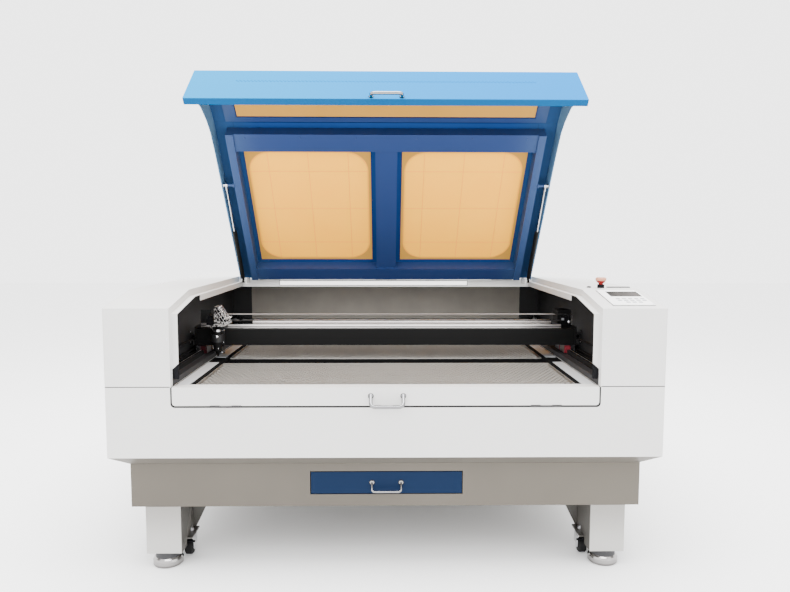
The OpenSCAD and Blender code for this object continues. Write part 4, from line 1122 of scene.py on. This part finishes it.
def make_gantry_parts():
    """A bright cover along the back of the beam's top, the end screws and motor fittings."""
    near, far = BEAM_Y0 + 76 * MM, BEAM_Y1 - 6 * MM
    foot, shoulder, top = (BEAM_TOP + rise * MM for rise in (0.1, 24, 26))
    fold = 2 * MM
    cover = Shop().profile([(near, foot), (far, foot), (far, shoulder), (far - fold, top),
                            (near + fold, top), (near, shoulder)], -555 * MM, 690 * MM, "X")
    cover.made("beam_cover", "gantry", beam_alloy)
    points = [((side * (beam_high.x + 0.1 * MM), y, BEAM_TOP - drop * MM), (side, 0, 0))
              for side in (-1, 1) for y in (BEAM_Y0 + 8 * MM, BEAM_Y1 - 8 * MM)
              for drop in (55, 12)]
    grown(fixing_tree, "beam_screws", "gantry", zinc, points, Part=m4_cap)
    low, high = box("x_motor")
    middle = (low + high) / 2
    plug = (low.x, low.y, middle.z)
    motor = Shop()
    motor.block(*around(plug, (4, -9, -8), (30, -0.3, 10)))
    motor.block(*around(plug, (8, -15, -4), (18, -9, 6)), 1)
    motor.turned(mm((0, 0), (7, 0), (7, 3), (4, 5), (0, 5)),
                 at(high.x - 14 * MM, low.y - 0.2 * MM, middle.z - 12 * MM, (0, -1, 0)), 20, 1)
    motor.made("motor_terminals", "gantry", black_plastic, zinc, edge=0.5 * MM)
    ribs = Shop()
    for number in range(9):
        z = BEAM_TOP + 4 * MM + number * 5.4 * MM
        ribs.block((high.x - 3 * MM, low.y + 6 * MM, z),
                   (high.x - 0.1 * MM, high.y - 8 * MM, z + 2.2 * MM))
    ribs.made("motor_ribs", "gantry", zinc)


def make_mirror_holder(x, y, deck):
    """The mirror's tilted casting: a stepped plate, ribs down its front, knobs and screws."""
    up = Vector((-42, 0, 65)).normalized()
    out = Vector((65, 0, 42)).normalized()
    tilt = Matrix((up, (0, 1, 0), out)).transposed().to_4x4()
    holder = Shop(Matrix.Translation((x + 28 * MM, y, deck + 49.5 * MM)) @ tilt)
    holder.block(*mm((-37, -24, 0.2), (38, 24, 4)))
    holder.block(*mm((-31, -19, 4), (33, 19, 8)))
    for depth, start, finish in ((-2.5, -34, 34), (-12.8, -28, 30), (-22.5, -14, 22)):
        holder.block(*mm((start, -26, depth - 1.8), (finish, -21.8, depth + 1.8)))
    for depth, start, finish in ((-8, -33, 35), (-17.5, -25, 29)):
        holder.block(*mm((start, -23, depth - 3.4), (finish, -21.8, depth + 3.4)), 1)
    for depth, bridges in ((-8, (-20, -4, 12, 26)), (-17.5, (-4, 12))):
        for a in bridges:
            holder.block(*mm((a - 2, -25.4, depth - 2.6), (a + 2, -22.9, depth + 2.6)))
    knob = mm((0, 0), (4.6, 0), (4.6, 1), (3.9, 1.6), (3.9, 4), (4.6, 4.6), (4.6, 6.5), (0, 7))
    for a, b in ((-26, -18), (-26, 18), (28, -18)):
        holder.turned(knob, Matrix.Translation((a * MM, b * MM, 7.5 * MM)), 14)
    for a in (-18, 2, 20):
        holder.turned(mm((0, 0), (2.6, 0), (2.6, 1.6), (0, 2)),
                      Matrix.Translation((a * MM, -24.6 * MM, -3 * MM))
                      @ Matrix.Rotation(math.pi / 2, 4, "X"), 10)
    holder.made("mirror_holder", "head", holder_metal, black_plastic, edge=0.6 * MM)


def make_head_parts():
    """The mirror holder, the clamp knob, small screws, the sensor and the nozzle's fittings."""
    x, y = lens_low.x + 18 * MM, lens_low.y + 18 * MM
    deck = BEAM_TOP + 18.5 * MM
    make_mirror_holder(x, y, deck)
    trim = Shop()
    trim.turned(mm((0, 0), (3.2, 0), (3.2, 6), (6.4, 6.6), (6.8, 9), (6.2, 13), (3, 14.6),
                   (0, 15)), at(x + 3 * MM, y - 23.4 * MM, BEAM_TOP - 21 * MM, (0.2, -1, 0)), 20)
    for dx, dz in ((-16, -2), (18, -2), (-16, -52), (16, -52)):
        trim.turned(mm((0, 0), (3, 0), (3, 1.6), (2, 2.4), (0, 2.4)),
                    at(x + dx * MM, y + 25 * MM, BEAM_TOP + dz * MM, (0, -1, 0)), 12)
    trim.turned(mm((0, 0), (2.4, 0), (2.4, 3), (4.2, 3.4), (4.2, 9), (2.8, 9.6), (2.8, 16),
                   (0, 16)), at(x - 21 * MM, y + 2 * MM, deck + 14 * MM, (-1, -0.3, 0.25)), 14)
    trim.made("head_fittings", "head", chrome, edge=0.3 * MM)
    sensor = Shop()
    sensor.block(*around((x, y, deck), (-38, -20, 6.2), (-12, 16, 30)))
    sensor.block(*around((x, y, deck), (-34, -16, 30), (-16, 10, 42)))
    sensor.made("head_sensor_block", "head", black_plastic, edge=1.2 * MM)
    nozzle = Shop()
    for height in (117, 121.6):
        nozzle.turned(mm((17.9, 0), (19.2, 0.5), (19.2, 3.5), (17.9, 4)),
                      at(x, y, SEAM + height * MM), 40)
    air = mm((0, 0), (4.4, 0), (4.4, 5), (5.6, 5.4), (5.6, 11), (3.4, 11.6), (4, 16), (3, 22),
             (0, 22))
    nozzle.turned(air, at(x + 8 * MM, y, SEAM + 31 * MM, (1, -0.15, 0.1)), 18)
    reach = 15.6 * MM
    for turn in (-2.4, -1.2, 0.4):
        nozzle.turned(mm((0, 0), (2, 0), (2, 1.8), (0, 2)),
                      at(x + reach * math.sin(turn), y - reach * math.cos(turn), SEAM + 50 * MM,
                         (math.sin(turn), -math.cos(turn), 0)), 10)
    nozzle.made("nozzle_fittings", "focus_tube", chrome)


# ------------------------------------------------------------------ controls


def make_controls():
    """The panel's gasket, screen bezel, keys and corner screws, and the meter's dark scale."""
    gasket = Shop(on_bevel)
    gasket.block((PANEL_X0 - 1.4 * MM, PANEL_S0 - 1.6 * MM, 0.05 * MM),
                 (PANEL_X1 + 1.2 * MM, PANEL_S1 + 1.2 * MM, 1.0 * MM))
    left, right = LCD_X0 - 4 * MM, LCD_X1 + 4 * MM
    foot, head, sight = LCD_S0 - 4 * MM, LCD_S0 + 61 * MM, LCD_S0 + 57 * MM
    for low, high in (((left, foot), (right, LCD_S0 - 0.1 * MM)),
                      ((left, LCD_S0 + 57.1 * MM), (right, head)),
                      ((left, LCD_S0), (LCD_X0 - 0.1 * MM, sight)),
                      ((LCD_X1 + 0.1 * MM, LCD_S0), (right, sight))):
        gasket.block((*low, 2.9 * MM), (*high, 3.3 * MM))
    gasket.made("panel_gasket", "cabinet", rubber)
    keys = Shop(on_bevel)
    without_key = ((0, 0), (0, 4))
    for row, s in enumerate((26, 48, 70)):
        for column in range(5):
            if (row, column) not in without_key:
                x, base = LCD_X0 + (4 + 21 * column) * MM, PANEL_S0 + s * MM
                keys.block((x, base, 2.9 * MM), (x + 13 * MM, base + 11 * MM, 4.2 * MM))
    keys.made("panel_keys", "cabinet", key_plastic, edge=0.6 * MM)
    points = [((x, s, 3.0 * MM), (0, 0, 1)) for x in (PANEL_X0 + 6 * MM, PANEL_X1 - 6 * MM)
              for s in (PANEL_S0 + 6 * MM, PANEL_S1 - 6 * MM)]
    grown(fixing_tree, "panel_screws", "cabinet", zinc, carried(points, on_bevel), Part=m4_pan)
    meter = Shop().block(*around((HALF - 48 * MM, FRONT + BEVEL + 102 * MM, TOP),
                                 (-37, -2.6, 2.9), (37, -0.6, 3.5)))
    meter.made("meter_scale", "cabinet", rubber, edge=0.2 * MM)


# ------------------------------------------------------------------ lid, rear and inside


def make_lid_parts():
    """The struts' upper bolts and the screws of the lid's inner frame."""
    studs = Shop(raise_lid)
    y, z = HINGE.y - 573 * MM, RIM_Z + 4 * MM
    for side in (-1, 1):
        studs.turned(mm((0, 0), (4.8, 0), (4.8, 43), (8, 43), (8.4, 44.6), (8.4, 46.6),
                        (7.4, 47.6), (0, 47.6)),
                     at(side * (FRAME_X - 1 * MM), y, z, (side, 0, 0)), 20)
    studs.made("strut_bolts", "lid", chrome)
    points = [((x * MM, y, RIM_Z + 5.9 * MM), (0, 0, -1)) for x in (-560, -340, -120, 120, 340, 560)
              for y in (HINGE.y - 47 * MM, FRONT + BEVEL + 40 * MM)]
    grown(fixing_tree, "lid_screws", "lid", lid_inner_paint, carried(points, raise_lid),
          Part=m4_pan)


def make_cabinet_screws():
    """Pan screws along the back and one at each end of the door's opening."""
    places = [(x, height) for x in range(-660, 661, 220)
              for height in (TOP - 14 * MM, SEAM + 66 * MM, SEAM - 16 * MM)]
    points = [((x * MM, REAR, height), (0, 1, 0)) for x, height in places]
    for side in (-1, 1):
        points += [((side * x * MM, REAR, z * MM), (0, 1, 0)) for x in (730, 895)
                   for z in (660, 800, 925)]
        points.append(((side * (OPEN_X + 8 * MM), FRONT, SEAM + 159 * MM), (0, -1, 0)))
    grown(fixing_tree, "cabinet_screws", "cabinet", zinc, points, Part=m4_pan)


def make_rear_parts():
    """A fan guard, the fan, the mains inlet and the cooling water fittings on the back."""
    z = SEAM - 140 * MM
    behind, wire = REAR + 3.4 * MM, 64 * MM
    guard = Shop()
    for radius in (16, 30, 44, 58):
        circle = [(radius * MM * math.cos(math.tau * k / 32), REAR + 5 * MM,
                   z + radius * MM * math.sin(math.tau * k / 32)) for k in range(33)]
        guard.bar(circle, 1.3 * MM, 8)
    for k in range(4):
        turn = math.tau * (k + 0.5) / 4
        hub, tip = ((reach * math.cos(turn), behind, z + reach * math.sin(turn))
                    for reach in (6 * MM, wire))
        guard.bar([hub, tip], 1.6 * MM, 8)
        guard.turned(mm((0, 0), (5, 0), (5, 2), (3, 3.4), (0, 3.4)),
                     at(tip[0], REAR + 0.2 * MM, tip[2], (0, 1, 0)), 14)
    guard.made("fan_guard", "cabinet", chrome)
    fan = Shop()
    fan.turned(mm((0, 0), (62, 0), (62, 1.6), (58, 2), (58, 0.6), (17, 0.6), (17, 2), (0, 2)),
               at(0, REAR + 0.1 * MM, z, (0, 1, 0)), 48)
    for low, high in (((600, 0.1, -30), (672, 4, 42)), ((612, 4, -22), (660, 12, 6)),
                      ((622, 4, 14), (650, 9, 34))):
        fan.block(*around((0, REAR, z), low, high))
    fan.made("mains_inlet_and_fan", "cabinet", black_plastic, edge=0.8 * MM)
    water = Shop()
    for x in (-660, -610):
        water.turned(mm((0, 0), (11, 0), (11, 4), (8, 4.6), (8, 12), (6, 12.6), (6.8, 16),
                        (5.4, 20), (6.6, 22), (5, 28), (3.4, 28), (3.4, 4), (0, 4)),
                     at(x * MM, REAR + 0.1 * MM, z + 20 * MM, (0, 1, 0)), 24)
    water.made("water_fittings", "cabinet", brass)


def make_tube_parts():
    """The discharge tube, end caps and electrodes inside the glass laser tube."""
    high = box("laser_tube")[1]
    y, z = high.y - 46 * MM, high.z - 40 * MM
    inner = Shop()
    inner.turned(mm((0, 0), (11, 0), (11, 1060), (0, 1060)), at(-530 * MM, y, z, (1, 0, 0)), 24)
    inner.made("discharge_tube", "cabinet", tube_core)
    caps = Shop()
    for side in (-1, 1):
        caps.turned(mm((0, 0), (30, 0), (39, 6), (39, 26), (26, 38), (14, 40), (14, 52), (0, 52)),
                    at(side * (high.x - 56 * MM), y, z, (side, 0, 0)), 32)
        caps.turned(mm((0, 0), (5, 0), (5, 24), (3, 26), (0, 26)),
                    at(side * (high.x - 80 * MM), y, z + 20 * MM, (0, 0, 1)), 16)
    caps.made("tube_caps", "cabinet", chrome)


make_gantry_parts()
make_head_parts()
make_controls()
make_lid_parts()
make_cabinet_screws()
make_rear_parts()
make_tube_parts()
soften("base_frame", "cabinet", 1.6 * MM, grey_paint)
soften("legs", "cabinet", 1.6 * MM, leg_paint)
make_seam_shade_gaskets()
make_door_seal()
make_bumpers()
make_deck_light()

lid_face = raise_lid @ Matrix.Translation((0, FRONT, LID_BOTTOM + 15 * MM))
door_face = Matrix.Translation((1.5 * MM, FRONT, SEAM - 29 * MM))
drawer_face = Matrix.Translation((0, plinth_low.y, box("drawer")[0].z + 38 * MM))
make_pull("lid_pull", "lid_handle", "lid", lid_face, 107 * MM, 30 * MM, 6 * MM)
make_pull("door_pull", "door_handle", "door", door_face, 107 * MM, 30 * MM, 6 * MM)
make_pull("drawer_pull", "drawer_handle", "debris_drawer", drawer_face, 99 * MM, 24 * MM, 4 * MM)
make_bed()

# ------------------------------------------------------------------ camera, lights and floor

FLOOR_REACH = 14.0
DAYLIGHT = 3.7
SOFTBOXES = {
    "key_softbox": ((-2.2, -3.6, 3.6), (0, 0, 0.7), (2.6, 2.0), 50),
    "fill_softbox": ((3.2, -3.0, 2.4), (0, 0, 0.7), (2.4, 2.0), 20),
    "top_softbox": ((0.0, -0.5, 4.6), (0, -0.2, 0.6), (4.0, 3.0), 520),
    "back_softbox": ((0.0, 3.4, 2.8), (0, 0.3, 1.1), (3.0, 2.0), 50),
}


def make_camera():
    """The view from the front at chest height, looking a little down."""
    yaw, pitch, roll = 0.0148, 0.0859, 0.0015
    stand = Matrix.Translation((-0.0052, FRONT - 2.1825, 1.129))
    lens = bpy.data.cameras.new("camera")
    lens.sensor_width = 36.0
    lens.lens = 30.76
    lens.clip_end = 60.0
    camera = bpy.data.objects.new("camera", lens)
    bpy.context.scene.collection.objects.link(camera)
    camera.matrix_world = (stand @ Matrix.Rotation(-yaw, 4, "Z")
                           @ Matrix.Rotation(math.pi / 2 - pitch, 4, "X")
                           @ Matrix.Rotation(roll, 4, "Z"))
    bpy.context.scene.camera = camera


def make_softbox(name, place, aim, size, power):
    """A soft studio lamp of a size in metres and a power in watts, turned to its aim."""
    light = bpy.data.lights.new(name, "AREA")
    light.shape = "RECTANGLE"
    light.size, light.size_y = size
    light.energy = power
    lamp = bpy.data.objects.new(name, light)
    bpy.context.scene.collection.objects.link(lamp)
    direction = Vector(aim) - Vector(place)
    lamp.matrix_world = (Matrix.Translation(place)
                         @ direction.to_track_quat("-Z", "Y").to_matrix().to_4x4())


def make_stage():
    """A plain pale floor under even white daylight."""
    mesh = bpy.data.meshes.new("studio_floor")
    corners = [(x * FLOOR_REACH, y * FLOOR_REACH, 0)
               for x, y in ((-1, -1), (1, -1), (1, 1), (-1, 1))]
    mesh.from_pydata(corners, [], [(0, 1, 2, 3)])
    floor = bpy.data.objects.new("studio_floor", mesh)
    bpy.context.scene.collection.objects.link(floor)
    mesh.materials.append(Finish("studio_white", (0.93, 0.93, 0.93), 0.9).material)
    world = bpy.data.worlds.new("studio")
    bpy.context.scene.world = world
    world.use_nodes = True
    background = world.node_tree.nodes["Background"]
    background.inputs["Color"].default_value = (1.0, 1.0, 1.0, 1.0)
    background.inputs["Strength"].default_value = DAYLIGHT


make_camera()
make_stage()
for name, (place, aim, size, power) in SOFTBOXES.items():
    make_softbox(name, place, aim, size, power)
